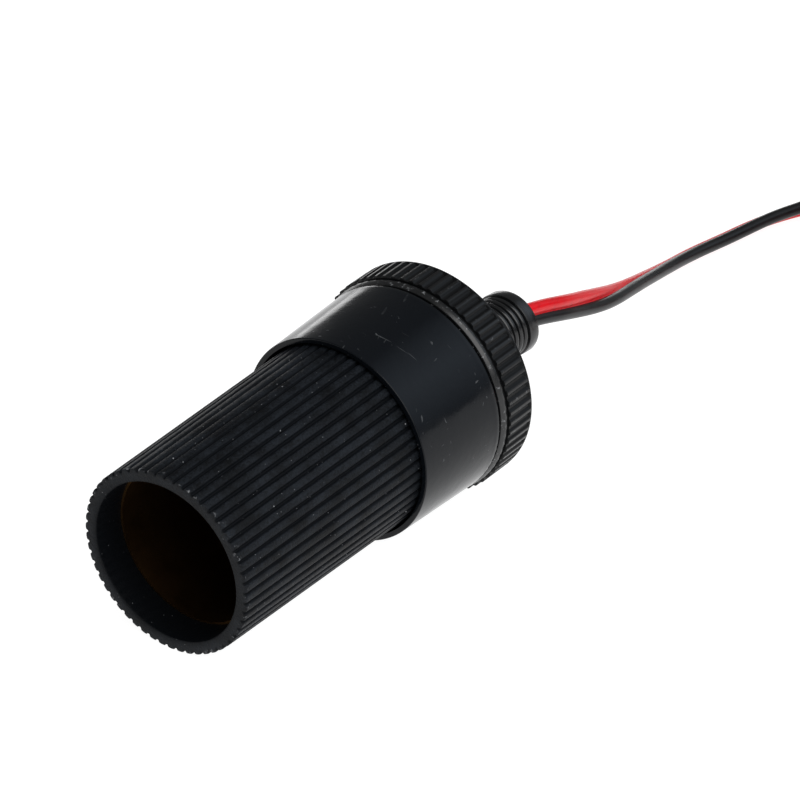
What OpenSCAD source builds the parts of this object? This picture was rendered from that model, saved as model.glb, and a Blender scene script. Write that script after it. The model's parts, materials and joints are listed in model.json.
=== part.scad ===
// Lighter socket extension lead, in millimetres, +Z up.
// The ribbed socket lies on the floor on its mouth rim and its knurled cap, and its axis rises towards the cord.
// The two-core cord runs from the socket to a round coil, and ends in a fused plug that lies on the coil.
// Both ends are drawn about their own axis: Z runs from the open mouth or the tip towards the cord, and Y is up.

/* [Socket barrel] */
// Diameter over the ribs at the mouth
barrel_front_d = 25.6; // [25.2:0.1:26]
// Gap between the rear end of the ribs and the collar round them
rib_gap = 0.5; // [0.35:0.05:0.8]
// Length of the ribbed part
rib_length = 41; // [38:0.5:43]
// Number of ribs round the barrel, an even number so that one is at the bottom
rib_count = 54; // [48:2:60]
// Depth of the grooves between the ribs
rib_depth = 0.36; // [0.2:0.02:0.5]
// Diameter of the open mouth
mouth_d = 22; // [21.9:0.05:22.2]
// Depth of the plain mouth in front of the metal shell
mouth_depth = 4.7; // [3:0.1:7]
// Height of the shoulder from the threaded end up to the land that carries the collar
shoulder_h = 0.75; // [0.6:0.05:1]

/* [Socket shell and contacts] */
// Inside diameter of the metal shell, which the plug slides into
shell_bore_d = 21.4; // [21.2:0.05:21.5]
// Sheet thickness of the shell
shell_wall = 0.4; // [0.3:0.05:0.5]
// Distance from the shell's rear edge to the barrel's rear edge
shell_rear_room = 11.7; // [11:0.1:13]
// Width of the solder tongue on the shell's rear edge
tongue_w = 3; // [2:0.5:4]
// Length of that tongue
tongue_length = 7.5; // [6:0.1:8]
// Height of the insulating base's rim, from its floor to the shell
base_rim_h = 3; // [2.8:0.1:4]
// Diameter inside that rim
base_rim_bore = 19; // [18:0.1:20]
// Thickness of the insulating base's floor
base_thick = 2; // [1.5:0.1:2.4]
// Thickness of the snap ring that holds the insulating base
snap_ring_thick = 1; // [0.6:0.1:1.2]
// Inside diameter of the snap ring
snap_ring_bore = 20.4; // [19:0.1:20.6]
// How far the snap ring sits in its groove
snap_ring_bite = 0.35; // [0.2:0.05:0.45]
// Diameter of the centre contact's head
contact_head_d = 7.2; // [6:0.1:8]
// Height of the centre contact's head
contact_head_h = 2.6; // [2:0.1:4]
// Diameter of the centre contact's stud
stud_d = 3; // [2.5:0.1:3.5]
// Length of the stud behind the insulating base
stud_length = 4.4; // [4.2:0.1:5]
// Size of the stud's nut over its flats
nut_flats = 5.5; // [5:0.1:6]
// Thickness of that nut
nut_thick = 2.4; // [1.6:0.1:2.6]
// Thickness of the washer under the nut
washer_thick = 0.6; // [0.4:0.1:0.8]
// Diameter of the washer under the nut
washer_d = 5.8; // [5.4:0.1:6.2]
// Sheet thickness of the solder tags
tag_thick = 0.5; // [0.4:0.05:0.6]
// Distance of the solder tag's bent end from the axis
tag_reach = 5.1; // [4.9:0.1:6]

/* [Collar] */
// Outside diameter at the collar's front edge
collar_front_d = 28.7; // [28.4:0.1:29.2]
// Outside diameter at the collar's rear edge
collar_rear_d = 29.74; // [29.2:0.02:30]
// Distance of the collar's front edge from the mouth
collar_front = 34.3; // [32:0.1:36]
// Length of the collar
collar_length = 15; // [14.6:0.1:17]
// Wall thickness of the collar
collar_wall = 0.75; // [0.6:0.05:0.8]
// Thickness of the collar's inner flange, which the cap clamps
collar_flange = 1.4; // [1:0.1:1.8]
// Bevel of the collar's two outer edges
collar_bevel = 0.12; // [0.05:0.01:0.2]

/* [Rear cap] */
// Open groove between the collar and the cap
cap_gap = 0.4; // [0.35:0.05:0.8]
// Diameter of the cap's smooth front lip
cap_lip_d = 30.1; // [30:0.05:30.3]
// Length of that lip
cap_lip_length = 1.2; // [0.8:0.1:1.6]
// Diameter over the knurl
knurl_d = 30.9; // [30.6:0.1:31.6]
// Length of the knurl
knurl_length = 4.7; // [4.2:0.1:6]
// Number of knurl teeth, an even number so that one is at the bottom
knurl_count = 66; // [60:2:72]
// Depth of the knurl
knurl_depth = 0.35; // [0.25:0.05:0.5]
// Thickness of the cap's rear wall
cap_wall = 1.5; // [1.2:0.1:1.8]
// Bevel of the cap's rear edge
cap_bevel = 0.5; // [0.2:0.05:0.8]
// Length of thread that holds the cap, which is also its travel
cap_thread_length = 3; // [2.5:0.1:3.2]

/* [Strain relief of the socket] */
// Diameter of the neck in the cap's hole
relief_neck_d = 7.8; // [7:0.1:8]
// Diameter of the inner flange
relief_flange_d = 11.2; // [10:0.1:13]
// Thickness of the inner flange
relief_flange = 1.1; // [0.8:0.1:1.2]
// Diameter over the rings
relief_ring_d = 8.6; // [8.2:0.1:9]
// Depth of the grooves between the rings
relief_groove = 0.55; // [0.3:0.05:0.7]
// Number of rings
relief_rings = 12; // [9:1:14]
// Length of the ringed part
relief_ring_length = 11.4; // [10:0.1:12]
// Distance from the gland's front edge to the point where the cord starts in it
relief_lead_in = 6; // [5:0.5:7]
// Length of the plain shoulder in front of the rings
relief_shoulder = 2.2; // [1.5:0.1:2.5]
// Diameter of the plain end
relief_end_d = 9.1; // [8.8:0.1:9.6]
// Length of the plain end
relief_end = 1.9; // [1.5:0.1:2.4]

/* [Cord] */
// Diameter of one core over its insulation
core_d = 1.9; // [1.7:0.1:2]
// Mean diameter of the coil
coil_d = 39; // [38.5:0.5:40]
// Width of the tie round the coil
tie_w = 4; // [3:0.5:6]
// Thickness of the tie
tie_thick = 0.6; // [0.4:0.1:0.8]

/* [Plug body] */
// Diameter of the barrel that goes into a socket
plug_barrel_d = 20.6; // [20.2:0.1:20.8]
// Bevel of the barrel's front edge
plug_bevel = 1.5; // [0.8:0.1:1.8]
// Length of the barrel
plug_barrel_length = 28.8; // [28:0.1:30]
// Diameter of the handle
plug_handle_d = 24; // [23:0.5:26]
// Length of the handle
plug_handle_length = 27; // [26.5:0.5:30]
// Radius of the handle's rounded rear end
plug_handle_round = 5; // [3:0.5:6]
// Radius of the handle's front edge
plug_handle_edge = 0.8; // [0.3:0.1:1.2]
// Number of grip grooves round the handle
grip_grooves = 5; // [3:1:6]
// Depth of the grip grooves
grip_depth = 0.6; // [0.3:0.1:0.9]
// Diameter of the threaded front end under the nose ring
plug_spigot_d = 13.2; // [12.6:0.1:13.6]
// Length of the threaded front end
plug_spigot_length = 5.2; // [5:0.1:6]
// Diameter of the hollow for the leads
plug_hollow_d = 18; // [17:0.5:19]
// Length of the hollow for the leads
plug_hollow_length = 13; // [12:0.5:14]
// Wall between the fuse's spring seat and that hollow
plug_seat_wall = 1.6; // [1.2:0.1:2]
// Wall between that hollow and the strain relief's flange
plug_tail_wall = 1.4; // [1:0.1:1.8]

/* [Plug nose and fuse] */
// Diameter of the nose ring
nose_ring_d = 16.6; // [16:0.1:18]
// Diameter of the nose ring's front face
nose_front_d = 11; // [10:0.1:12]
// Thickness of the nose ring's front wall
nose_wall = 1.9; // [1.5:0.1:2.2]
// Number of teeth on the nose ring
nose_teeth = 36; // [30:2:40]
// Depth of the nose ring's teeth
nose_tooth_depth = 0.35; // [0.2:0.05:0.5]
// Thread length of the nose ring, which is also its travel
nose_thread_length = 4.5; // [4:0.1:4.8]
// Thickness of the nose washer
nose_washer_thick = 0.8; // [0.6:0.1:1]
// Diameter of the nose washer
nose_washer_d = 12.6; // [12:0.1:12.8]
// Diameter of the tip pin
pin_d = 5.5; // [5:0.1:5.8]
// Length of the pin in front of the nose ring
pin_reach = 6; // [5:0.1:7]
// Diameter of the pin's flange
pin_flange_d = 6.6; // [6.5:0.05:6.7]
// Thickness of the pin's flange
pin_flange = 1.8; // [1.4:0.1:2.2]
// Travel of the pin against its spring
pin_travel = 2.5; // [2:0.1:3]
// Diameter of the fuse
fuse_d = 6.35; // [6.3:0.05:6.4]
// Length of the fuse
fuse_length = 31.8; // [31:0.1:32]
// Length of each fuse cap
fuse_cap_length = 6; // [5:0.1:7]
// Thickness of each fuse cap's end
fuse_cap_end = 0.5; // [0.4:0.1:0.8]
// Diameter of the fuse's wire
fuse_wire_d = 0.4; // [0.3:0.05:0.6]
// Wire diameter of the fuse spring
spring_wire_d = 0.6; // [0.5:0.05:0.7]
// Number of turns of the fuse spring
spring_turns = 5; // [4:1:6]
// Length of the fuse spring at rest
spring_length = 6.2; // [6:0.1:7]
// Thickness of the spring seat
seat_thick = 1.2; // [0.8:0.1:1.4]
// Length of the spring seat's solder pin
seat_pin_length = 2.4; // [2:0.1:2.6]

/* [Plug side contacts] */
// Width of each side contact
side_w = 4.6; // [4:0.1:5]
// Sheet thickness of the side contacts
side_thick = 0.5; // [0.4:0.05:0.6]
// Length from a side contact's eye to its free end
side_length = 19; // [18:0.5:19]
// Distance of the eyes in front of the fuse's spring seat
side_eye_back = 10.5; // [10:0.1:11]
// Height of the bow over the eye
side_bow = 2.95; // [2.6:0.05:3]
// Distance of the eyes from the plug's axis
side_eye_x = 8; // [7.9:0.05:8.1]
// Diameter of the rolled eye
side_eye_d = 1.8; // [1.6:0.1:1.9]
// Diameter of the ground strap's ring round the fuse
strap_d = 11.4; // [10.8:0.1:12]
// Width of the ground strap's solder tab
strap_tab_w = 3; // [2.4:0.1:3.4]

/* [Plug screw and strain relief] */
// Diameter of the screw's shank
screw_d = 2.6; // [2.4:0.1:2.8]
// Length of the screw's shank
screw_length = 17; // [15:0.5:18]
// Diameter of the screw's head
screw_head_d = 5; // [4.6:0.1:5.4]
// Height of the screw's head
screw_head_h = 1.6; // [1.2:0.1:2]
// Depth of the screw's head below the handle
screw_sink = 0.8; // [0.5:0.1:1.2]
// Diameter of the boss round the screw
screw_boss_d = 6; // [5.6:0.1:6.4]
// Diameter of the plug's strain relief at the handle
tail_front_d = 8.6; // [8:0.1:9]
// Diameter of the plug's strain relief at its free end
tail_end_d = 6.6; // [6.2:0.1:7]
// Length of the strain relief outside the handle
tail_length = 14; // [12:0.5:18]
// Number of grooves in the strain relief
tail_grooves = 6; // [4:1:8]
// Diameter of the strain relief's inner flange
tail_flange_d = 11; // [10:0.1:12]
// Thickness of the strain relief's inner flange
tail_flange = 1.6; // [1.2:0.1:2]

/* [Hidden] */
$fn = 96;
slack = 0.1;          // play of a turning or sliding fit, on the radius
part_gap = 0.3;       // space between pieces that move apart
thin_gap = 0.05;      // play between pieces that stay together
loose_gap = 0.2;      // play round the sheet parts that the plug's shells trap
over = 1;             // how far a cutter runs past what it cuts
coil_columns = 3;     // turns of cord side by side in the coil
coil_layers = 2;      // layers of turns in the coil

// Stations along the socket's axis, from the mouth
collar_back = collar_front + collar_length;
collar_seat = collar_back - collar_flange;
cap_front = collar_back + cap_gap;
barrel_back = cap_front + cap_thread_length;
shell_back = barrel_back - shell_rear_room;
base_floor = shell_back + base_rim_h;
base_back = base_floor + base_thick;
snap_back = base_back + snap_ring_thick;
knurl_front = cap_front + cap_lip_length;
knurl_back = knurl_front + knurl_length;
cap_back = knurl_back + cap_bevel;
cap_inside = cap_back - cap_wall;
relief_front = cap_inside - slack - relief_flange;
relief_shoulder_front = cap_back + slack;
relief_rings_front = relief_shoulder_front + relief_shoulder;
relief_end_front = relief_rings_front + relief_ring_length;
relief_back = relief_end_front + relief_end;
shell_d = shell_bore_d + 2 * shell_wall;
shell_room_d = shell_d + 2 * thin_gap;
tongue_low = sqrt(pow(shell_d / 2, 2) - pow(tongue_w / 2, 2)) - thin_gap;
tongue_face = tongue_low - shell_wall;
tag_back = base_back + tag_thick;
washer_back = tag_back + washer_thick;

// The ribs, the land and the threaded end follow the collar's bore, which widens towards the rear
function collar_bore(s) = collar_front_d - 2 * collar_wall
    + (collar_rear_d - collar_front_d) * (s - collar_front) / collar_length;
barrel_rear_d = collar_bore(rib_length) - 2 * rib_gap;
land_d = barrel_rear_d - 2 * slack;
spigot_d = land_d - 2 * shoulder_h;

// How the socket lies: on the mouth rim's lowest rib and on the knurl's lowest tooth
socket_tilt = atan((knurl_d - barrel_front_d) / 2 / knurl_front);
socket_z = barrel_front_d / 2 * cos(socket_tilt);
socket_low_x = -barrel_front_d / 2 * sin(socket_tilt);
socket_high_x = relief_back * cos(socket_tilt) + relief_end_d / 2 * sin(socket_tilt);
socket_x = -(socket_low_x + socket_high_x) / 2;

// Stations along the plug's axis, from the tip
nose_front = pin_reach;
nose_washer_front = nose_front + nose_wall + slack;
plug_front = nose_washer_front + nose_washer_thick + slack;
pin_flange_front = plug_front + slack;
fuse_front = pin_flange_front + pin_flange;
fuse_back = fuse_front + fuse_length;
seat_front = fuse_back + spring_length;
seat_back = seat_front + seat_thick;
barrel_front = plug_front + plug_spigot_length;
handle_front = barrel_front + plug_barrel_length;
handle_back = handle_front + plug_handle_length;
chamber_d = max(fuse_d, pin_flange_d) + 2 * (slack + thin_gap);
hollow_front = seat_back + plug_seat_wall;
hollow_back = hollow_front + plug_hollow_length;
tail_flange_front = hollow_back + plug_tail_wall;
tail_flange_back = tail_flange_front + tail_flange;
tail_back = handle_back + tail_length;
side_eye_z = seat_front - side_eye_back;
strap_front = side_eye_z + side_eye_d / 2 + part_gap;
strap_back = strap_front + tag_thick;
strap_w = 2 * (side_eye_x + side_eye_d / 2);
strap_tab_x = side_eye_x - side_eye_d / 2;
screw_z = (hollow_front + hollow_back) / 2;
screw_top = plug_handle_d / 2 - screw_sink;

// Cord: a flat pair of cores, with the coil's centre and the places where it starts in both ends
cord_w = 2 * core_d;
cord_play = 0.4;
coil_x = 120.4;
coil_y = -25.2;
coil_w = coil_columns * cord_w;
coil_h = coil_layers * cord_w;
coil_corner = core_d;
tie_angle = 30;
cord_start = relief_front + relief_lead_in;
tail_start = tail_flange_back;

// How the plug lies on the coil: on the front edge of its barrel and the front edge of its handle
plug_tilt = atan((plug_handle_d - plug_barrel_d) / 2
    / (handle_front + plug_handle_edge - barrel_front - plug_bevel));
plug_x = 151;
plug_y = -39.5;
plug_z = coil_h + thin_gap + plug_barrel_d / 2 * cos(plug_tilt) - (barrel_front + plug_bevel) * sin(plug_tilt);

function socket_point(s) = [socket_x + s * cos(socket_tilt), 0, socket_z + s * sin(socket_tilt)];
function plug_point(t) = [plug_x - t * cos(plug_tilt), plug_y, plug_z + t * sin(plug_tilt)];

// Each row is a place and the angle of the red core round the cord, where 0 is level and 90 is on top
route_in = [
    concat(socket_point(cord_start), [90]),
    concat(socket_point((cord_start + relief_back) / 2), [90]),
    concat(socket_point(relief_back + 1), [90]),
    [39.8, -0.1, 16.35, 92],
    [42.8, -0.9, 15.1, 95],
    [46.7, -0.8, 13.6, 100],
    [52.4, 0, 11.6, 108],
    [58.5, 0.9, 9.4, 120],
    [67.4, 2.9, 6.6, 142],
    [76.5, 4.9, 4.2, 168],
    [84.4, 6.2, 2.5, 185],
    [91.4, 6.5, 1.6, 196],
    [97, 5.8, 1.4, 205],
    [102, 4.9, 1.5, 214],
    [106.6, 3.6, 1.7, 228],
    [110.8, 2, 1.8, 248],
    [115.4, 0.4, 1.9, 264],
    [119.6, -0.8, 1.9, 278],
    [123.6, -1.85, 1.9, 292],
    [127.6, -3.04, 1.9, 306],
];
// From the coil the flat cord drops to the floor under the plug, and turns up and over into it
route_out = [
    [121.5, -48.5, 5.7, 90],
    [116.5, -48.6, 5.7, 90],
    [111.5, -48.7, 5.3, 90],
    [106.5, -48.5, 4.3, 90],
    [101, -47.9, 3.1, 90],
    [95, -46.9, 2, 90],
    [89, -45.6, 1.3, 90],
    [83, -44.2, 1, 90],
    [77, -42.8, 1, 90],
    [71, -41.5, 1.15, 90],
    [66, -40.7, 1.6, 90],
    [63.33, -40.3, 1.95, 90],
    [60.09, -40, 3.46, 90],
    [57.08, -39.7, 6.75, 90],
    [55.74, -39.55, 11, 90],
    [56.32, -39.5, 15.42, 90],
    [58.72, -39.5, 19.18, 90],
    [62.48, -39.5, 21.58, 90],
    concat(plug_point(tail_back + 0.8), [90]),
    concat(plug_point(tail_back - 6), [90]),
    concat(plug_point(tail_start), [90]),
];

function unit(v) = v / norm(v);

// The direction of a path at point i, from its two neighbours
function heading(path, i) = unit(path[min(i + 1, len(path) - 1)] - path[max(i - 1, 0)]);

// One ring of an oval tube: centre c, direction t, half widths a and b, turned by roll round t
function oval_ring(c, t, a, b, roll, ref, sides) =
    let (side = unit(cross(t, ref)), top = cross(side, t))
    [for (k = [0 : sides - 1])
        let (u = a * cos(360 * k / sides), v = b * sin(360 * k / sides))
        c + (u * cos(roll) - v * sin(roll)) * side + (u * sin(roll) + v * cos(roll)) * top];

// A closed tube of oval section along a path; rows hold x, y, z and, for an oval, the roll
module tube_along(rows, a, b, ref, sides = 8) {
    path = [for (p = rows) [p[0], p[1], p[2]]];
    n = len(path);
    points = [for (i = [0 : n - 1])
        each oval_ring(path[i], heading(path, i), a, b, len(rows[i]) > 3 ? rows[i][3] : 0, ref, sides)];
    walls = [for (i = [0 : n - 2], k = [0 : sides - 1])
        let (p = i * sides + k, q = i * sides + (k + 1) % sides)
        each [[p, q, p + sides], [q, q + sides, p + sides]]];
    start = [for (k = [0 : sides - 1]) sides - 1 - k];
    end = [for (k = [0 : sides - 1]) (n - 1) * sides + k];
    polyhedron(points = points, faces = concat([start], walls, [end]));
}

// A toothed outline: each tooth repeats the shape, given as shares of the pitch and of the depth
function toothed(n, d, depth, shape) =
    [for (i = [0 : n - 1], p = shape)
        let (angle = 90 + (i + p[0]) * 360 / n, r = d / 2 - p[1] * depth)
        [r * cos(angle), r * sin(angle)]];

rib_shape = [[-0.43, 1], [-0.33, 0.3], [-0.2, 0.06], [0, 0], [0.2, 0.06], [0.33, 0.3], [0.43, 1]];
knurl_shape = [[-0.4, 1], [-0.24, 0.1], [0, 0], [0.24, 0.1], [0.4, 1]];

// Places a piece drawn about the socket's axis
module in_socket() {
    translate([socket_x, 0, socket_z]) rotate([0, -socket_tilt, 0]) rotate([90, 0, 90]) children();
}

// Places a piece drawn about the plug's axis
module in_plug() {
    translate([plug_x, plug_y, plug_z]) rotate([0, 0, 180]) rotate([0, -plug_tilt, 0]) rotate([90, 0, 90])
        children();
}

// A disc or ring between two stations, with an optional bore
module disc(z1, z2, d, bore = 0) {
    difference() {
        translate([0, 0, z1]) cylinder(d = d, h = z2 - z1);
        if (bore > 0) translate([0, 0, z1 - over]) cylinder(d = bore, h = z2 - z1 + 2 * over);
    }
}

// A box between two stations, centred on the axis in x and y and then moved
module block(z1, z2, w, h, x = 0, y = 0) {
    translate([x - w / 2, y - h / 2, z1]) cube([w, h, z2 - z1]);
}

// The flat cord's outline, with play all round; the two cores stand along y, or along x when flat
module cord_hole(z1, z2, flat) {
    translate([0, 0, z1]) rotate([0, 0, flat ? 0 : 90]) {
        for (x = [-core_d / 2, core_d / 2]) {
            translate([x, 0, 0]) cylinder(d = core_d + 2 * cord_play, h = z2 - z1);
        }
        translate([-core_d / 2, -core_d / 2 - cord_play, 0]) cube([core_d, core_d + 2 * cord_play, z2 - z1]);
    }
}

module grip_barrel() {
    groove_d = shell_room_d + 2 * snap_ring_bite + 2 * thin_gap;
    color([0.11, 0.12, 0.13]) in_socket() difference() {
        union() {
            linear_extrude(height = rib_length, scale = barrel_rear_d / barrel_front_d)
                polygon(toothed(rib_count, barrel_front_d, rib_depth, rib_shape));
            disc(rib_length - over / 2, collar_seat, land_d);
            disc(collar_seat - over, barrel_back, spigot_d);
        }
        disc(-over, mouth_depth + over, mouth_d);
        disc(mouth_depth, barrel_back + over, shell_room_d);
        disc(base_back, snap_back + thin_gap, groove_d);
    }
}

module collar() {
    front_r = collar_front_d / 2;
    rear_r = collar_rear_d / 2;
    color([0.08, 0.08, 0.09]) in_socket() rotate_extrude() polygon([
        [front_r - collar_wall, collar_front],
        [front_r - collar_bevel, collar_front],
        [front_r, collar_front + collar_bevel],
        [rear_r, collar_back - collar_bevel],
        [rear_r - collar_bevel, collar_back],
        [spigot_d / 2 + slack, collar_back],
        [spigot_d / 2 + slack, collar_seat],
        [rear_r - collar_wall, collar_seat],
    ]);
}

module contact_shell() {
    color([0.55, 0.42, 0.22]) in_socket() union() {
        disc(mouth_depth, shell_back, shell_d, shell_bore_d);
        difference() {
            block(shell_back - over, shell_back + tongue_length, tongue_w, shell_wall, 0,
                shell_wall / 2 - tongue_low);
            disc(shell_back - 2 * over, shell_back - part_gap, shell_bore_d);
        }
    }
}

module shell_base() {
    notch_y = tongue_face - part_gap;
    color([0.42, 0.27, 0.15]) in_socket() difference() {
        disc(shell_back + thin_gap, base_back, shell_d);
        disc(shell_back - over, base_floor, base_rim_bore);
        disc(base_floor - over, base_back + over, stud_d + 2 * thin_gap);
        block(shell_back - over, base_back + over, tongue_w + 2 * part_gap, shell_d, 0, -notch_y - shell_d / 2);
    }
}

module snap_ring() {
    gap_w = tongue_w + 4;
    color([0.6, 0.61, 0.62]) in_socket() difference() {
        disc(base_back, snap_back, shell_room_d + 2 * snap_ring_bite, snap_ring_bore);
        block(base_back - over, snap_back + over, gap_w, shell_d, 0, -shell_d / 2);
    }
}

module centre_contact() {
    head_front = base_floor - contact_head_h;
    color([0.72, 0.58, 0.3]) in_socket() rotate_extrude() polygon([
        [0, head_front],
        [contact_head_d / 2 * 0.5, head_front],
        [contact_head_d / 2 * 0.72, head_front + contact_head_h * 0.2],
        [contact_head_d / 2 * 0.8, head_front + contact_head_h * 0.6],
        [contact_head_d / 2, head_front + contact_head_h * 0.68],
        [contact_head_d / 2, base_floor],
        [stud_d / 2, base_floor],
        [stud_d / 2, base_back + stud_length],
        [0, base_back + stud_length],
    ]);
}

module positive_tag() {
    arm_w = 2.4;
    bend_back = tag_back + 1.3;
    color([0.78, 0.76, 0.7]) in_socket() difference() {
        union() {
            disc(base_back, tag_back, washer_d);
            block(base_back, tag_back, arm_w, tag_reach, 0, tag_reach / 2);
            block(base_back, bend_back, arm_w, tag_thick, 0, tag_reach - tag_thick / 2);
        }
        disc(base_back - over, tag_back + over, stud_d + 2 * thin_gap);
    }
}

module contact_washer() {
    color([0.7, 0.71, 0.73]) in_socket() disc(tag_back, washer_back, washer_d, stud_d + 2 * thin_gap);
}

module contact_nut() {
    color([0.7, 0.71, 0.73]) in_socket() difference() {
        translate([0, 0, washer_back]) cylinder(d = nut_flats / cos(30), h = nut_thick, $fn = 6);
        disc(washer_back - over, washer_back + nut_thick + over, stud_d + 2 * thin_gap);
    }
}

// The red core inside the socket, from the solder tag to the start of the cord
module lead_red() {
    tag_y = tag_reach - tag_thick / 2;
    color([0.8, 0.08, 0.1]) in_socket() tube_along([
        [0, tag_y, tag_back + 1.3],
        [0, tag_y - 0.1, tag_back + 2.3],
        [0, tag_y - 1, tag_back + 3.6],
        [0, core_d / 2 + 1, relief_front - 1.8],
        [0, core_d / 2 + 0.1, relief_front - 0.6],
        [0, core_d / 2, relief_front + 0.6],
        [0, core_d / 2, cord_start],
    ], core_d / 2, core_d / 2, [1, 0, 0]);
}

// The black core inside the socket, from the shell's tongue to the start of the cord
module lead_black() {
    tongue_y = core_d / 2 + thin_gap - tongue_face;
    color([0.12, 0.12, 0.12]) in_socket() tube_along([
        [0, tongue_y, snap_back - 0.2],
        [0, tongue_y + 0.1, snap_back + 1.4],
        [0, tongue_y + 1.2, snap_back + 3],
        [0, tongue_y + 3.8, snap_back + 4.1],
        [0, -core_d / 2 - 1.8, relief_front - 1.6],
        [0, -core_d / 2 - 0.2, relief_front - 0.5],
        [0, -core_d / 2, relief_front + 0.6],
        [0, -core_d / 2, cord_start],
    ], core_d / 2, core_d / 2, [1, 0, 0]);
}

module strain_relief() {
    pitch = relief_ring_length / relief_rings;
    ring_r = relief_ring_d / 2;
    root_r = ring_r - relief_groove;
    rings = [for (i = [0 : relief_rings - 1])
        let (z = relief_rings_front + i * pitch)
        each [[root_r, z + pitch * 0.12], [ring_r, z + pitch * 0.35],
            [ring_r, z + pitch * 0.75], [root_r, z + pitch * 0.95]]];
    color([0.07, 0.07, 0.08]) in_socket() difference() {
        rotate_extrude() polygon(concat([
            [0, relief_front],
            [relief_flange_d / 2, relief_front],
            [relief_flange_d / 2, relief_front + relief_flange],
            [relief_neck_d / 2, relief_front + relief_flange],
            [relief_neck_d / 2, relief_shoulder_front],
            [ring_r, relief_shoulder_front],
            [ring_r, relief_rings_front - 0.2],
            [root_r, relief_rings_front],
        ], rings, [
            [relief_end_d / 2 - 0.2, relief_end_front],
            [relief_end_d / 2, relief_end_front + 0.2],
            [relief_end_d / 2, relief_back - 0.3],
            [relief_end_d / 2 - 0.3, relief_back],
            [0, relief_back],
        ]));
        cord_hole(relief_front - over, relief_back + over, false);
    }
}

module rear_cap() {
    root_d = knurl_d - 2 * knurl_depth;
    lip_edge = 0.15;
    color([0.1, 0.1, 0.11]) in_socket() difference() {
        union() {
            rotate_extrude() polygon([
                [0, cap_front],
                [cap_lip_d / 2 - lip_edge, cap_front],
                [cap_lip_d / 2, cap_front + lip_edge],
                [cap_lip_d / 2, knurl_front],
                [root_d / 2, knurl_front],
                [root_d / 2, knurl_back],
                [root_d / 2 - cap_bevel, cap_back],
                [0, cap_back],
            ]);
            translate([0, 0, knurl_front]) linear_extrude(height = knurl_length)
                polygon(toothed(knurl_count, knurl_d, knurl_depth, knurl_shape));
        }
        disc(cap_front - over, cap_inside, spigot_d + 2 * slack);
        disc(cap_inside - over, cap_back + over, relief_neck_d + 2 * slack);
    }
}

module cord_tube() {
    color([0.7, 0.1, 0.1]) tube_along(route_in, cord_w / 2, core_d / 2, [0, 0, 1]);
}

module cord_tail() {
    color([0.7, 0.1, 0.1]) tube_along(route_out, cord_w / 2, core_d / 2, [0, 1, 0]);
}

// The coil's section, round its corners, shrunk by inset on every side
module coil_section(inset) {
    corner = coil_corner - inset;
    r1 = coil_d / 2 - coil_w / 2 + coil_corner;
    r2 = coil_d / 2 + coil_w / 2 - coil_corner;
    for (r = [r1, r2], z = [coil_corner, coil_h - coil_corner]) {
        translate([r, z]) circle(r = corner, $fn = 24);
    }
    translate([r1 - corner, coil_corner]) square([r2 - r1 + 2 * corner, coil_h - 2 * coil_corner]);
    translate([r1, inset]) square([r2 - r1, coil_h - 2 * inset]);
}

// The sector of the coil that the tie covers
module tie_zone(w) {
    rotate([0, 0, tie_angle]) translate([coil_d / 4, -w / 2, -over])
        cube([coil_d, w, coil_h + 2 * over]);
}

module cord_coil() {
    color([0.35, 0.08, 0.08]) translate([coil_x, coil_y, 0]) difference() {
        rotate_extrude() coil_section(0);
        intersection() {
            tie_zone(tie_w + 2 * thin_gap);
            difference() {
                translate([0, 0, -over]) cylinder(r = coil_d / 2 + coil_w, h = coil_h + 2 * over);
                rotate_extrude() coil_section(tie_thick + thin_gap);
            }
        }
    }
}

module cord_tie() {
    color([0.1, 0.1, 0.1]) translate([coil_x, coil_y, 0]) intersection() {
        tie_zone(tie_w);
        difference() {
            rotate_extrude() coil_section(0);
            rotate_extrude() coil_section(tie_thick);
        }
    }
}

module plug_strain_relief() {
    pitch = (tail_length - 3) / tail_grooves;
    function tail_r(z) = tail_front_d / 2
        + (tail_end_d - tail_front_d) / 2 * (z - handle_back) / tail_length;
    rings = [for (i = [0 : tail_grooves - 1])
        let (z = handle_back + 1 + i * pitch)
        each [[tail_r(z), z], [tail_r(z) - 0.6, z + pitch * 0.2],
            [tail_r(z) - 0.6, z + pitch * 0.5], [tail_r(z + pitch * 0.7), z + pitch * 0.7]]];
    color([0.07, 0.07, 0.08]) in_plug() difference() {
        rotate_extrude() polygon(concat([
            [0, tail_flange_front],
            [tail_flange_d / 2, tail_flange_front],
            [tail_flange_d / 2, tail_flange_back],
            [tail_front_d / 2, tail_flange_back],
        ], rings, [
            [tail_end_d / 2, tail_back - 0.3],
            [tail_end_d / 2 - 0.3, tail_back],
            [0, tail_back],
        ]));
        cord_hole(tail_flange_front - over, tail_back + over, true);
    }
}

// The plug's outline: threaded end, barrel, and handle with grip grooves and a round end
module plug_outline() {
    barrel_r = plug_barrel_d / 2;
    handle_r = plug_handle_d / 2;
    grip_front = handle_front + 4;
    grip_pitch = (plug_handle_length - plug_handle_round - 6) / grip_grooves;
    grooves = [for (i = [0 : grip_grooves - 1])
        let (z = grip_front + i * grip_pitch)
        each [for (a = [0 : 30 : 180])
            [handle_r - grip_depth * sin(a), z + grip_pitch * 0.3 * (1 - cos(a))]]];
    rear = [for (a = [0 : 15 : 90])
        [handle_r - plug_handle_round * (1 - cos(a)),
            handle_back - plug_handle_round * (1 - sin(a))]];
    polygon(concat([
        [0, plug_front],
        [plug_spigot_d / 2, plug_front],
        [plug_spigot_d / 2, barrel_front],
        [barrel_r - plug_bevel, barrel_front],
        [barrel_r, barrel_front + plug_bevel],
        [barrel_r, handle_front],
        [handle_r - plug_handle_edge, handle_front],
        [handle_r, handle_front + plug_handle_edge],
    ], grooves, rear, [[0, handle_back]]));
}

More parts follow.
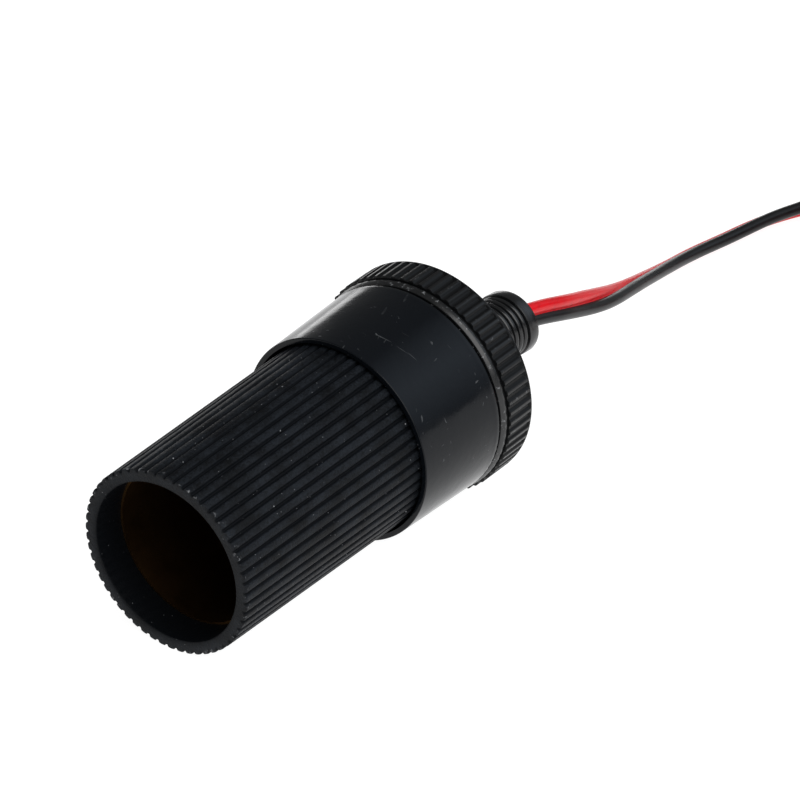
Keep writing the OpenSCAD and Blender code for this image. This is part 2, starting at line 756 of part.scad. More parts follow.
// One side contact's slot, with the round pocket for its eye
module side_slot(sign) {
    slot_w = side_w + 2 * (slack + 0.15);
    slot_front = side_eye_z - side_length - 1.2;
    slot_floor = side_eye_x - 2.35;
    slot_back = side_eye_z - side_eye_d / 2 + 0.2;
    block(slot_front, slot_back, plug_barrel_d, slot_w, sign * (slot_floor + plug_barrel_d / 2));
    translate([sign * side_eye_x, slot_w / 2, side_eye_z]) rotate([90, 0, 0])
        cylinder(d = side_eye_d + 2 * slack, h = slot_w);
}

// The whole plug body, before it is parted into its two shells
module plug_body() {
    difference() {
        rotate_extrude() plug_outline();
        disc(plug_front - over, seat_back + thin_gap, chamber_d);
        disc(seat_back - over, hollow_front + over, 2.4);
        difference() {
            disc(hollow_front, hollow_back, plug_hollow_d);
            translate([0, plug_hollow_d / 2 + over, screw_z]) rotate([90, 0, 0])
                cylinder(d = screw_boss_d, h = plug_hollow_d + 2 * over);
        }
        disc(tail_flange_front - thin_gap, tail_flange_back + thin_gap, tail_flange_d + 2 * thin_gap);
        disc(hollow_back - over, handle_back + over, tail_front_d + 2 * thin_gap);
        side_slot(1);
        side_slot(-1);
        disc(strap_front - loose_gap, strap_back + thin_gap, strap_d + loose_gap);
        block(strap_front - part_gap, strap_back + thin_gap, strap_w + loose_gap, side_w + loose_gap);
        block(strap_front, hollow_front + over, tag_thick + 2 * loose_gap, strap_tab_w + 2 * loose_gap,
            -strap_tab_x);
        translate([0, plug_handle_d, screw_z]) rotate([90, 0, 0])
            cylinder(d = screw_head_d + 4 * slack, h = plug_handle_d - screw_top + screw_head_h);
        translate([0, plug_handle_d, screw_z]) rotate([90, 0, 0])
            cylinder(d = screw_d + 2 * thin_gap, h = plug_handle_d - screw_top + screw_head_h + screw_length + 0.5);
    }
}

module plug_shell_upper() {
    half = plug_handle_d;
    color([0.1, 0.1, 0.11]) in_plug() intersection() {
        plug_body();
        translate([-half, 0, 0]) cube([2 * half, half, tail_back]);
    }
}

module plug_shell_lower() {
    half = plug_handle_d;
    color([0.1, 0.1, 0.11]) in_plug() intersection() {
        plug_body();
        translate([-half, -half, 0]) cube([2 * half, half, tail_back]);
    }
}

module plug_screw() {
    slot_w = 0.8;
    slot_depth = 0.7;
    color([0.75, 0.76, 0.78]) in_plug() translate([0, screw_top, screw_z]) rotate([90, 0, 0]) difference() {
        union() {
            cylinder(d1 = screw_head_d - 0.8, d2 = screw_head_d, h = 0.5);
            translate([0, 0, 0.5]) cylinder(d = screw_head_d, h = screw_head_h - 0.5);
            cylinder(d = screw_d, h = screw_head_h + screw_length);
        }
        for (turn = [0, 90]) {
            rotate([0, 0, turn]) translate([-screw_head_d * 0.35, -slot_w / 2, -over])
                cube([screw_head_d * 0.7, slot_w, slot_depth + over]);
        }
    }
}

module nose_ring() {
    ring_back = plug_front + nose_thread_length;
    cone_back = nose_front + (nose_ring_d - nose_front_d) / 2 * 0.9;
    root_d = nose_ring_d - 2 * nose_tooth_depth;
    color([0.75, 0.76, 0.78]) in_plug() difference() {
        union() {
            rotate_extrude() polygon([
                [0, nose_front],
                [nose_front_d / 2 - 0.3, nose_front],
                [nose_front_d / 2, nose_front + 0.3],
                [root_d / 2, cone_back],
                [root_d / 2, ring_back],
                [0, ring_back],
            ]);
            translate([0, 0, cone_back]) linear_extrude(height = ring_back - cone_back)
                polygon(toothed(nose_teeth, nose_ring_d, nose_tooth_depth, knurl_shape));
        }
        disc(nose_front - over, ring_back + over, pin_d + 4 * slack);
        disc(nose_front + nose_wall, ring_back + over, plug_spigot_d + 2 * slack);
    }
}

module nose_washer() {
    color([0.45, 0.3, 0.18]) in_plug()
        disc(nose_washer_front, nose_washer_front + nose_washer_thick, nose_washer_d, pin_d + 4 * slack);
}

module tip_pin() {
    dome = [for (a = [0 : 15 : 90]) [pin_d / 2 * sin(a), pin_d / 2 * 0.8 * (1 - cos(a))]];
    color([0.75, 0.76, 0.78]) in_plug() rotate_extrude() polygon(concat(dome, [
        [pin_d / 2, pin_flange_front],
        [pin_flange_d / 2, pin_flange_front],
        [pin_flange_d / 2, fuse_front],
        [0, fuse_front],
    ]));
}

// One fuse cap: a cup with its closed end at z_end, open towards the fuse's middle
module fuse_cap(z_end, sign) {
    wall = 0.3;
    z_open = z_end + sign * fuse_cap_length;
    difference() {
        disc(min(z_end, z_open), max(z_end, z_open), fuse_d);
        disc(min(z_end + sign * fuse_cap_end, z_open + sign), max(z_end + sign * fuse_cap_end, z_open + sign),
            fuse_d - 2 * wall);
    }
}

module fuse_caps() {
    color([0.78, 0.79, 0.81]) in_plug() {
        fuse_cap(fuse_front, 1);
        fuse_cap(fuse_back, -1);
    }
}

module fuse_glass() {
    glass_d = fuse_d - 0.6 - 2 * thin_gap;
    color([0.8, 0.9, 0.9, 0.4]) in_plug()
        disc(fuse_front + fuse_cap_end, fuse_back - fuse_cap_end, glass_d, glass_d - 1.6);
}

module fuse_wire() {
    color([0.8, 0.8, 0.8]) in_plug() disc(fuse_front + fuse_cap_end, fuse_back - fuse_cap_end, fuse_wire_d);
}

module fuse_spring() {
    steps = 10;
    mean_r = (fuse_d - spring_wire_d) / 2 - 0.2;
    low = fuse_back + spring_wire_d / 2 + 0.02;
    high = seat_front - spring_wire_d / 2 - 0.02;
    rows = [for (i = [0 : spring_turns * steps])
        let (angle = 360 * i / steps, z = low + (high - low) * i / (spring_turns * steps))
        [mean_r * cos(angle), mean_r * sin(angle), z]];
    color([0.7, 0.7, 0.72]) in_plug()
        tube_along(rows, spring_wire_d / 2, spring_wire_d / 2, [0, 0, 1], 6);
}

module spring_seat() {
    color([0.72, 0.58, 0.3]) in_plug() union() {
        disc(seat_front, seat_back, chamber_d - 2 * thin_gap);
        disc(seat_back - over / 2, seat_back + seat_pin_length, 2);
    }
}

// One side contact, bowed outwards from its rolled eye to its free front end
module side_contact(sign) {
    steps = 20;
    span = side_length * 20 / 19;
    function bow(t) = [side_eye_x + side_bow * sin(180 * t / span), side_eye_z - t];
    function bow_normal(t) =
        unit([1, side_bow * PI / span * cos(180 * t / span)]);
    line = [for (i = [0 : steps]) i * side_length / steps];
    outer = [for (t = line) bow(t) + bow_normal(t) * side_thick / 2];
    inner = [for (i = [steps : -1 : 0]) bow(line[i]) - bow_normal(line[i]) * side_thick / 2];
    color([0.75, 0.76, 0.78]) in_plug() mirror([sign < 0 ? 1 : 0, 0, 0])
        translate([0, side_w / 2, 0]) rotate([90, 0, 0]) union() {
            linear_extrude(height = side_w) polygon(concat(outer, inner));
            translate([side_eye_x, side_eye_z, 0]) cylinder(d = side_eye_d, h = side_w);
        }
}

module side_contact_left() {
    side_contact(1);
}

module side_contact_right() {
    side_contact(-1);
}

module ground_strap() {
    color([0.78, 0.76, 0.7]) in_plug() difference() {
        union() {
            disc(strap_front, strap_back, strap_d);
            block(strap_front, strap_back, strap_w, side_w);
            block(strap_front, hollow_front + 2, tag_thick, strap_tab_w, -strap_tab_x);
        }
        disc(strap_front - over, strap_back + over, chamber_d + 2 * loose_gap);
    }
}

module plug_lead_red() {
    around = screw_boss_d / 2 + core_d / 2 + 0.5;
    bend = [for (a = [20 : 25 : 145]) [around * sin(a), 0, screw_z - around * cos(a)]];
    color([0.8, 0.08, 0.1]) in_plug() tube_along(concat([
        [0, 0, seat_back + seat_pin_length + thin_gap],
        [0, 0, seat_back + seat_pin_length + 0.6],
    ], bend, [
        [core_d / 2 + 0.2, 0, hollow_back - 0.6],
        [core_d / 2, 0, hollow_back + 1],
        [core_d / 2, 0, tail_start],
    ]), core_d / 2, core_d / 2, [0, 1, 0]);
}

module plug_lead_black() {
    tab_face = -strap_tab_x + tag_thick / 2;
    color([0.12, 0.12, 0.12]) in_plug() tube_along([
        [tab_face + core_d / 2 + thin_gap, 0, hollow_front + 0.4],
        [tab_face + core_d / 2 + thin_gap, 0, hollow_front + 2],
        [-screw_boss_d / 2 - core_d / 2 - 0.9, 0, screw_z - 1],
        [-screw_boss_d / 2 - core_d / 2 - 0.3, 0, screw_z + 0.8],
        [-3, 0, screw_z + 3.4],
        [-core_d / 2 - 0.2, 0, hollow_back - 0.5],
        [-core_d / 2, 0, hollow_back + 1],
        [-core_d / 2, 0, tail_start],
    ], core_d / 2, core_d / 2, [0, 1, 0]);
}

grip_barrel();
collar();
contact_shell();
shell_base();
snap_ring();
centre_contact();
positive_tag();
contact_washer();
contact_nut();
lead_red();
lead_black();
strain_relief();
rear_cap();
cord_tube();
cord_coil();
cord_tie();
cord_tail();
plug_strain_relief();
plug_shell_upper();
plug_shell_lower();
plug_screw();
nose_ring();
nose_washer();
tip_pin();
fuse_glass();
fuse_caps();
fuse_wire();
fuse_spring();
spring_seat();
side_contact_left();
side_contact_right();
ground_strap();
plug_lead_red();
plug_lead_black();
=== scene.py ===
import json
import math

import bpy
import numpy as np
from mathutils import Matrix, Vector


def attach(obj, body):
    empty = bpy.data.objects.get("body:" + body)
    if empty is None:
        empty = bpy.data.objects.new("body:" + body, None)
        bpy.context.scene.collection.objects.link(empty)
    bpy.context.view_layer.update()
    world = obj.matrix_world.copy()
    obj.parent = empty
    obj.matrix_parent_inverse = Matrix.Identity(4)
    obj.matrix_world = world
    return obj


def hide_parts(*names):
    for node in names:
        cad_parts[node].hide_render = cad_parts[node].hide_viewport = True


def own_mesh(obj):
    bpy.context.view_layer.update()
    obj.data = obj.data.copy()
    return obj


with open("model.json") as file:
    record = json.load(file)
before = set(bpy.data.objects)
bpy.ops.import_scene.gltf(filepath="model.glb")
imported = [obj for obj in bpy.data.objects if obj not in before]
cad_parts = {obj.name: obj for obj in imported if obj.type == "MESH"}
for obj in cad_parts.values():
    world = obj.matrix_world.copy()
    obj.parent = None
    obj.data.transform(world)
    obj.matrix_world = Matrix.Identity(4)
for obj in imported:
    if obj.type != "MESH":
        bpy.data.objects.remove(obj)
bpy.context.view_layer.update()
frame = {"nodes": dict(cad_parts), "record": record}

bl_info = {
    "name": "Lighter Socket Extension Lead",
    "version": (1, 0, 0),
    "blender": (4, 5, 0),
    "location": "3D View > Sidebar > Lead",
    "description": "Dresses the packed socket, cord and plug with detailed pieces, finishes, light and camera",
    "category": "Object",
}

# Places and directions are in the packed model's frame, in metres.
# Sizes along a piece's own axis are written in millimetres and scaled by MM.
MM = 0.001


# Axes of the two ends

class Axis:
    """A straight axis: its start, its direction, and the directions to its side and upwards."""

    def __init__(self, mount, station):
        found = next(m for m in frame["record"]["mounts"] if m["name"] == mount)
        self.along = -np.array(found["axis"])
        self.along /= np.linalg.norm(self.along)
        self.side = np.cross([0.0, 0.0, 1.0], self.along)
        self.side /= np.linalg.norm(self.side)
        self.up = np.cross(self.along, self.side)
        self.start = np.array(found["pos_m"]) - station * MM * self.along

    def points(self, s, x, y):
        """Points at stations s, offsets x to the side and y upwards, all in millimetres and of one shape."""
        s, x, y = np.broadcast_arrays(s, x, y)
        return self.start + MM * (s[..., None] * self.along + x[..., None] * self.side + y[..., None] * self.up)

    def turned(self, s, r, angle):
        """A turned surface: every station s and radius r, carried round the axis by angle."""
        return self.points(s, r * np.cos(angle), r * np.sin(angle))


SOCKET = Axis("socket_mouth", 22.85)
PLUG = Axis("plug_barrel", 15.6)


def gland_lean(s):
    """How far the pull of the cord bends the soft gland at station s, in metres: it grows with the square of the
    distance past the cap, to the right and downwards."""
    share = np.clip((s - 57) / 14.7, 0, None) ** 2
    return -MM * share[..., None] * (0.5 * SOCKET.side + 0.45 * SOCKET.up)


# Sizes, colours and light

def hex_colour(code):
    """An sRGB hex colour as linear red, green, blue and alpha."""
    values = [int(code[i:i + 2], 16) / 255 for i in (1, 3, 5)]
    return [v / 12.92 if v <= 0.04045 else ((v + 0.055) / 1.055) ** 2.4 for v in values] + [1.0]


def length_property(name, description, millimetres):
    """A length that a user can change, kept in metres."""
    return bpy.props.FloatProperty(
        name=name, description=description, default=millimetres * MM, unit="LENGTH", precision=5, min=0
    )


def colour_property(name, description, code):
    """A colour that a user can change."""
    return bpy.props.FloatVectorProperty(
        name=name, description=description, default=hex_colour(code), size=4, subtype="COLOR", min=0, max=1
    )


class LeadSocketSizes(bpy.types.PropertyGroup):
    """Sizes of the socket's outside."""

    barrel_front_d: length_property("Barrel at the mouth", "Diameter over the ribs at the mouth", 25.6)
    barrel_rear_d: length_property("Barrel at the collar", "Diameter over the ribs' rear end", 26.66)
    rib_length: length_property("Rib length", "Length of the ribbed part", 41)
    rib_depth: length_property("Rib depth", "Depth of the grooves between the ribs", 0.36)
    rib_count: bpy.props.IntProperty(name="Ribs", description="Number of ribs round the barrel", default=54, min=12)
    mouth_d: length_property("Mouth", "Diameter of the open mouth", 22)
    shell_room_d: length_property("Room for the shell", "Diameter of the bore that holds the metal shell", 22.3)
    land_d: length_property("Land", "Diameter of the barrel under the collar", 26.46)
    spigot_d: length_property("Threaded end", "Diameter over the thread that carries the cap", 24.96)
    thread_pitch: length_property("Thread pitch", "Distance that one turn of the cap moves it", 1.5)
    collar_front_d: length_property("Collar front", "Outside diameter of the collar's front edge", 28.7)
    collar_rear_d: length_property("Collar rear", "Outside diameter of the collar's rear edge", 29.74)
    collar_wall: length_property("Collar wall", "Wall thickness of the collar", 0.75)
    cap_lip_d: length_property("Cap lip", "Outside diameter of the cap's plain front lip", 30.1)
    knurl_d: length_property("Knurl", "Diameter over the cap's teeth", 30.9)
    knurl_depth: length_property("Knurl depth", "Depth of the valleys between the cap's teeth", 0.3)
    knurl_count: bpy.props.IntProperty(name="Teeth", description="Number of teeth round the cap", default=66, min=12)
    gland_ring_d: length_property("Gland rings", "Diameter over the rings of the cord gland", 8.6)
    gland_end_d: length_property("Gland end", "Diameter of the plain end of the cord gland", 9.1)


class LeadCordSizes(bpy.types.PropertyGroup):
    """Sizes of the cord, its coil and its tie."""

    core_d: length_property("Core", "Diameter of one core over its insulation", 1.75)
    lay: length_property("Lay", "Distance from one turn of the coil to the next", 3.8)
    web: length_property("Web", "Thickness of the web that joins the two cores", 0.7)
    coil_d: length_property("Coil", "Diameter of the coil at the middle of its turns", 39)
    tie_w: length_property("Tie width", "Width of the tie round the coil", 4)


class LeadColours(bpy.types.PropertyGroup):
    """Colours of the finishes."""

    barrel: colour_property("Barrel", "Grained black plastic of the barrel", "#101317")
    dust: colour_property("Dust", "Pale dust and burrs on the plastic", "#8e9093")
    collar: colour_property("Collar", "Polished black plastic of the collar", "#0a0d11")
    cap: colour_property("Cap", "Black plastic of the screw cap", "#0e0f10")
    gland: colour_property("Gland", "Soft black plastic of the glands", "#0c0d0e")
    red: colour_property("Red core", "Insulation of the positive core", "#cc0c18")
    black: colour_property("Black core", "Insulation of the negative core", "#161718")
    shell: colour_property("Shell", "Brass-washed steel of the contact shell", "#5a4226")
    brass: colour_property("Brass", "Turned brass", "#c79a4b")
    nickel: colour_property("Nickel", "Nickel plating", "#c3bfb6")
    zinc: colour_property("Zinc", "Zinc plating", "#b4b8bc")
    steel: colour_property("Steel", "Spring steel", "#8d9093")
    tin: colour_property("Tin", "Tinned brass", "#cfcabd")
    phenolic: colour_property("Phenolic", "Laminated paper board", "#5a3218")
    plug: colour_property("Plug", "Black plastic of the plug's body", "#131416")


class LeadStudio(bpy.types.PropertyGroup):
    """Camera and light."""

    lens: bpy.props.FloatProperty(name="Lens", description="Focal length of the camera", default=225, min=10, unit="CAMERA")
    table: bpy.props.FloatProperty(name="Table", description="Glow of the light table", default=0.95, min=0)
    key: bpy.props.FloatProperty(name="Overhead light", description="Power of the light over the part", default=3.5, min=0)
    left: bpy.props.FloatProperty(name="Left light", description="Power of the low light behind it", default=0.38, min=0)
    right: bpy.props.FloatProperty(name="Right light", description="Power of the high light behind it", default=0.56, min=0)
    front: bpy.props.FloatProperty(name="Front light", description="Power of the light to the right of the camera", default=6, min=0)
    room: bpy.props.FloatProperty(name="Room", description="Strength of the dim room round it", default=0.18, min=0)


# Meshes from grids

def grid_faces(rows, columns, close_rows, close_columns):
    """The quads between neighbouring rows and columns of a grid."""
    r = np.arange(rows if close_rows else rows - 1)[:, None]
    c = np.arange(columns if close_columns else columns - 1)[None, :]
    r2 = (r + 1) % rows
    c2 = (c + 1) % columns
    corners = [r * columns + c, r * columns + c2, r2 * columns + c2, r2 * columns + c]
    return np.stack([np.broadcast_to(k, (r.size, c.size)) for k in corners], axis=-1).reshape(-1, 4)


def outward(points, faces):
    """The faces of a closed shape, turned round if their volume comes out negative."""
    a, b, c, d = (points[faces[:, k]] for k in range(4))
    volume = np.einsum("ij,ij->", a, np.cross(b, c)) + np.einsum("ij,ij->", a, np.cross(c, d))
    return faces if volume > 0 else faces[:, ::-1]


def make_piece(name, points, faces, materials, smooth=32, which=None, values=None, weighted=True):
    """A mesh object from points and quads. which picks each face's material, and values are named point attributes."""
    mesh = bpy.data.meshes.new(name)
    mesh.from_pydata(points.tolist(), [], faces if isinstance(faces, list) else faces.tolist())
    mesh.polygons.foreach_set("use_smooth", np.ones(len(mesh.polygons), bool))
    if which is not None:
        mesh.polygons.foreach_set("material_index", np.asarray(which, np.int32))
    for label, data in (values or {}).items():
        layer = mesh.attributes.new(label, "FLOAT", "POINT")
        layer.data.foreach_set("value", np.ascontiguousarray(data, np.float32).ravel())
    mesh.update()
    mesh.set_sharp_from_angle(angle=math.radians(smooth))
    piece = bpy.data.objects.new(name, mesh)
    bpy.context.scene.collection.objects.link(piece)
    for material in materials:
        mesh.materials.append(material)
    if weighted:
        modifier = piece.modifiers.new("even shading", "WEIGHTED_NORMAL")
        modifier.keep_sharp = True
    return piece


def round_corners(corners, steps=2):
    """A closed profile with rounded corners. Each corner holds its values and, last, the length cut from its sides;
    between the two cuts the line follows a parabola whose control point is the corner."""
    table = np.array(corners, float)
    value, cut = table[:, :-1], table[:, -1]
    before = np.roll(value, 1, axis=0) - value
    after = np.roll(value, -1, axis=0) - value
    share_before = np.minimum(cut / np.linalg.norm(before[:, :2], axis=1), 0.45)
    share_after = np.minimum(cut / np.linalg.norm(after[:, :2], axis=1), 0.45)
    t = np.linspace(0, 1, steps + 1)[None, :, None]
    start = (value + before * share_before[:, None])[:, None]
    end = (value + after * share_after[:, None])[:, None]
    return ((1 - t) ** 2 * start + 2 * t * (1 - t) * value[:, None] + t ** 2 * end).reshape(-1, value.shape[1])


def smooth_step(low, high, x):
    """0 below low, 1 above high, and 3t^2 - 2t^3 between them."""
    t = np.clip((x - low) / (high - low), 0, 1)
    return t * t * (3 - 2 * t)


def turned_piece(name, axis, corners, columns, material, steps=3, smooth=32):
    """A turned piece: a closed profile of station and radius, carried round the axis."""
    profile = round_corners(corners, steps)
    angle = np.linspace(0, 2 * np.pi, columns, endpoint=False)
    points = axis.turned(profile[:, 0, None], profile[:, 1, None], angle[None]).reshape(-1, 3)
    faces = outward(points, grid_faces(len(profile), columns, True, True))
    return make_piece(name, points, faces, [material], smooth)


# Materials

NOISE = "ShaderNodeTexNoise"
CELLS = "ShaderNodeTexVoronoi"
WAVES = "ShaderNodeTexWave"
RANGE = "ShaderNodeMapRange"
MAPPING = "ShaderNodeMapping"
MATH = "ShaderNodeMath"
MIX = "ShaderNodeMix"
BUMP = "ShaderNodeBump"
ATTRIBUTE = "ShaderNodeAttribute"
PLUS = {"operation": "ADD"}
TIMES = {"operation": "MULTIPLY"}
COLOUR = {"data_type": "RGBA"}
STRETCH = {"vector_type": "TEXTURE"}


def add_node(tree, kind, settings=None, inputs=None, take=0):
    """Adds one node, sets its properties, sets or links its inputs, and returns the output that is asked for."""
    made = tree.nodes.new(kind)
    for name, value in (settings or {}).items():
        setattr(made, name, value)
    for name, value in (inputs or {}).items():
        if isinstance(value, bpy.types.NodeSocket):
            tree.links.new(value, made.inputs[name])
        else:
            made.inputs[name].default_value = value
    return made.outputs[take] if len(made.outputs) else None


def per_mm(size):
    """The Scale of a texture whose pattern repeats about every size millimetres."""
    return 1 / (size * MM)


def shade(colour, factor):
    """A colour made darker or lighter."""
    return [min(1, max(0, c * factor)) for c in colour[:3]] + [1]


def empty_material(name):
    """A material with an empty node tree, and the place that its textures read."""
    material = bpy.data.materials.new(name)
    material.use_nodes = True
    tree = material.node_tree
    tree.nodes.clear()
    return material, tree, add_node(tree, "ShaderNodeTexCoord", take="Object")


def finish_material(material, tree, **shader):
    """Ends the tree with a Principled shader, whose sockets are given by name, and returns the material."""
    sockets = {name.replace("_", " "): value for name, value in shader.items()}
    surface = add_node(tree, "ShaderNodeBsdfPrincipled", inputs=sockets)
    add_node(tree, "ShaderNodeOutputMaterial", inputs={"Surface": surface})
    return material


def dust_grains(tree, where, spacing, size, share):
    """Grains of dust: cells about spacing millimetres across, and in a share of them a dot about size across."""
    cell = {"Vector": where, "Scale": per_mm(spacing)}
    away = add_node(tree, CELLS, inputs=cell, take="Distance")
    chance = add_node(tree, CELLS, inputs=cell, take="Color")
    chance = add_node(tree, "ShaderNodeSeparateColor", inputs={0: chance})
    dot = add_node(tree, RANGE, inputs={0: away, 1: 0.5 * size / spacing, 2: 0.3 * size / spacing})
    kept = add_node(tree, RANGE, inputs={0: chance, 1: 1 - share, 2: 1 - 0.6 * share})
    return add_node(tree, MATH, TIMES, {0: dot, 1: kept})


def ribbed_plastic(colour, dust):
    """Polypropylene moulded in a spark-eroded tool: the fine grain spreads the light into a soft dark sheen, pale dust
    sits in it, and the ribs' front corners carry small pale burrs. The grain, really about 0.1 mm, is drawn 0.22 mm
    across so that it shows. The grooves and the bore behind the mouth get painted shade: a darker colour and less
    gloss."""
    material, tree, where = empty_material("polypropylene_spark_grain_black")
    grain = add_node(tree, NOISE, inputs={"Vector": where, "Scale": per_mm(0.22), "Detail": 2, "Roughness": 0.6})
    patch = add_node(tree, NOISE, inputs={"Vector": where, "Scale": per_mm(4), "Detail": 3, "Roughness": 0.6})
    drawn = add_node(tree, MAPPING, STRETCH, {"Vector": where, "Scale": (14, 1, 1)})
    drawn = add_node(tree, NOISE, inputs={"Vector": drawn, "Scale": per_mm(0.4), "Detail": 2, "Roughness": 0.5})
    both = add_node(tree, MATH, TIMES, {0: patch, 1: grain})
    lift = add_node(tree, RANGE, inputs={0: both, 1: 0.16, 2: 0.36})
    cast = add_node(tree, MIX, COLOUR, {0: lift, 6: shade(colour, 0.25), 7: shade(colour, 1.9)}, 2)
    # Painted shade: the "groove" attribute darkens the colour in the grooves between the ribs and in the bore behind
    # the mouth.
    deep = add_node(tree, ATTRIBUTE, {"attribute_name": "groove"}, take="Fac")
    cast = add_node(tree, MIX, COLOUR, {0: deep, 6: cast, 7: shade(colour, 0.5)}, 2)
    corner = add_node(tree, ATTRIBUTE, {"attribute_name": "edge"}, take="Fac")
    burr = add_node(tree, NOISE, inputs={"Vector": where, "Scale": per_mm(0.8), "Detail": 2, "Roughness": 0.7})
    burr = add_node(tree, RANGE, inputs={0: burr, 1: 0.6, 2: 0.72})
    burr = add_node(tree, MATH, TIMES, {0: burr, 1: corner})
    coarse = dust_grains(tree, where, 1.7, 0.26, 0.2)
    fine = dust_grains(tree, where, 0.7, 0.17, 0.3)
    fine = add_node(tree, MATH, TIMES, {0: fine, 1: 0.4})
    pale = add_node(tree, MATH, PLUS, {0: coarse, 1: fine})
    pale = add_node(tree, MATH, {"operation": "ADD", "use_clamp": True}, {0: pale, 1: burr})
    cast = add_node(tree, MIX, COLOUR, {0: pale, 6: cast, 7: dust}, 2)
    rough = add_node(tree, RANGE, inputs={0: grain, 1: 0.3, 2: 0.7, 3: 0.46, 4: 0.62})
    # Painted shade too: less gloss in the grooves and the bore.
    shine = add_node(tree, RANGE, inputs={0: deep, 3: 0.12, 4: 0.06})
    height = add_node(tree, MATH, TIMES, {0: drawn, 1: 0.6})
    height = add_node(tree, MATH, PLUS, {0: height, 1: grain})
    height = add_node(tree, MATH, PLUS, {0: height, 1: pale})
    normal = add_node(tree, BUMP, inputs={"Strength": 0.8, "Distance": 0.08 * MM, "Height": height})
    return finish_material(
        material, tree, Base_Color=cast, Roughness=rough, Normal=normal, IOR=1.49, Specular_IOR_Level=shine
    )


def polished_plastic(colour, dust):
    """ABS moulded in a polished tool: a deep black gloss that mirrors the soft boxes, with a slight waviness from
    shrinkage, hair scratches from handling and a few grains of dust."""
    material, tree, where = empty_material("abs_polished_black")
    wave = add_node(tree, NOISE, inputs={"Vector": where, "Scale": per_mm(2.2), "Detail": 3, "Roughness": 0.5})
    cover = add_node(tree, NOISE, inputs={"Vector": where, "Scale": per_mm(5), "Detail": 2})
    cover = add_node(tree, RANGE, inputs={0: cover, 1: 0.52, 2: 0.64})
    hair = None
    for stretch, turn in (((16, 1, 1), (0, 0, 0.3)), ((1, 14, 2), (0.4, 0, 0.2)), ((1, 2, 18), (0.2, 0.5, 0))):
        line = add_node(tree, MAPPING, STRETCH, {"Vector": where, "Rotation": turn, "Scale": stretch})
        line = add_node(tree, NOISE, inputs={"Vector": line, "Scale": per_mm(0.5), "Detail": 1})
        line = add_node(tree, RANGE, inputs={0: line, 1: 0.72, 2: 0.76})
        hair = line if hair is None else add_node(tree, MATH, PLUS, {0: hair, 1: line})
    scratch = add_node(tree, MATH, TIMES, {0: hair, 1: cover})
    specks = dust_grains(tree, where, 2.4, 0.22, 0.12)
    pale = add_node(tree, MATH, TIMES, {0: scratch, 1: 0.16})
    pale = add_node(tree, MATH, {"operation": "ADD", "use_clamp": True}, {0: pale, 1: specks})
    cast = add_node(tree, MIX, COLOUR, {0: pale, 6: colour, 7: dust}, 2)
    rough = add_node(tree, RANGE, inputs={0: cover, 3: 0.14, 4: 0.2})
    worn = add_node(tree, MATH, TIMES, {0: scratch, 1: 0.15})
    rough = add_node(tree, MATH, PLUS, {0: rough, 1: worn})
    height = add_node(tree, MATH, TIMES, {0: specks, 1: 0.5})
    height = add_node(tree, MATH, PLUS, {0: height, 1: wave})
    normal = add_node(tree, BUMP, inputs={"Strength": 0.5, "Distance": 0.06 * MM, "Height": height})
    return finish_material(
        material, tree, Base_Color=cast, Roughness=rough, Normal=normal, IOR=1.53, Specular_IOR_Level=0.15
    )


def cap_plastic(name, colour, dust, gloss):
    """ABS moulded in a plain tool: a satin black, burnished along its edges, with pale specks of flash on them."""
    material, tree, where = empty_material(name)
    patch = add_node(tree, NOISE, inputs={"Vector": where, "Scale": per_mm(3), "Detail": 3, "Roughness": 0.6})
    fine = add_node(tree, NOISE, inputs={"Vector": where, "Scale": per_mm(0.3), "Detail": 2, "Roughness": 0.6})
    cast = add_node(tree, MIX, COLOUR, {0: patch, 6: shade(colour, 0.7), 7: shade(colour, 1.4)}, 2)
    edge = add_node(tree, ATTRIBUTE, {"attribute_name": "edge"}, take="Fac")
    flash = add_node(tree, NOISE, inputs={"Vector": where, "Scale": per_mm(0.7), "Detail": 2, "Roughness": 0.7})
    flash = add_node(tree, RANGE, inputs={0: flash, 1: 0.62, 2: 0.7})
    flash = add_node(tree, MATH, TIMES, {0: flash, 1: edge})
    flash = add_node(tree, MATH, TIMES, {0: flash, 1: 0.5})
    shine = add_node(tree, RANGE, inputs={0: edge, 3: 0.12, 4: 0.5})
    specks = dust_grains(tree, where, 1.6, 0.2, 0.2)
    pale = add_node(tree, MATH, {"operation": "ADD", "use_clamp": True}, {0: flash, 1: specks})
    cast = add_node(tree, MIX, COLOUR, {0: pale, 6: cast, 7: dust}, 2)
    rough = add_node(tree, RANGE, inputs={0: patch, 1: 0.3, 2: 0.7, 3: gloss - 0.04, 4: gloss + 0.06})
    height = add_node(tree, MATH, PLUS, {0: fine, 1: pale})
    normal = add_node(tree, BUMP, inputs={"Strength": 0.3, "Distance": 0.02 * MM, "Height": height})
    return finish_material(
        material, tree, Base_Color=cast, Roughness=rough, Normal=normal, IOR=1.53, Specular_IOR_Level=shine
    )


def soft_plastic(name, colour, dust, gloss):
    """Plasticised PVC, injection moulded: a rubbery gloss with broad soft highlights and a faint orange peel."""
    material, tree, where = empty_material(name)
    peel = add_node(tree, NOISE, inputs={"Vector": where, "Scale": per_mm(0.6), "Detail": 2})
    patch = add_node(tree, NOISE, inputs={"Vector": where, "Scale": per_mm(4), "Detail": 2})
    cast = add_node(tree, MIX, COLOUR, {0: patch, 6: shade(colour, 0.7), 7: shade(colour, 1.4)}, 2)
    specks = dust_grains(tree, where, 1.5, 0.2, 0.16)
    cast = add_node(tree, MIX, COLOUR, {0: specks, 6: cast, 7: dust}, 2)
    rough = add_node(tree, RANGE, inputs={0: patch, 1: 0.3, 2: 0.7, 3: gloss - 0.04, 4: gloss + 0.06})
    normal = add_node(tree, BUMP, inputs={"Strength": 0.6, "Distance": 0.02 * MM, "Height": peel})
    return finish_material(
        material, tree, Base_Color=cast, Roughness=rough, Normal=normal, IOR=1.52, Specular_IOR_Level=0.5
    )


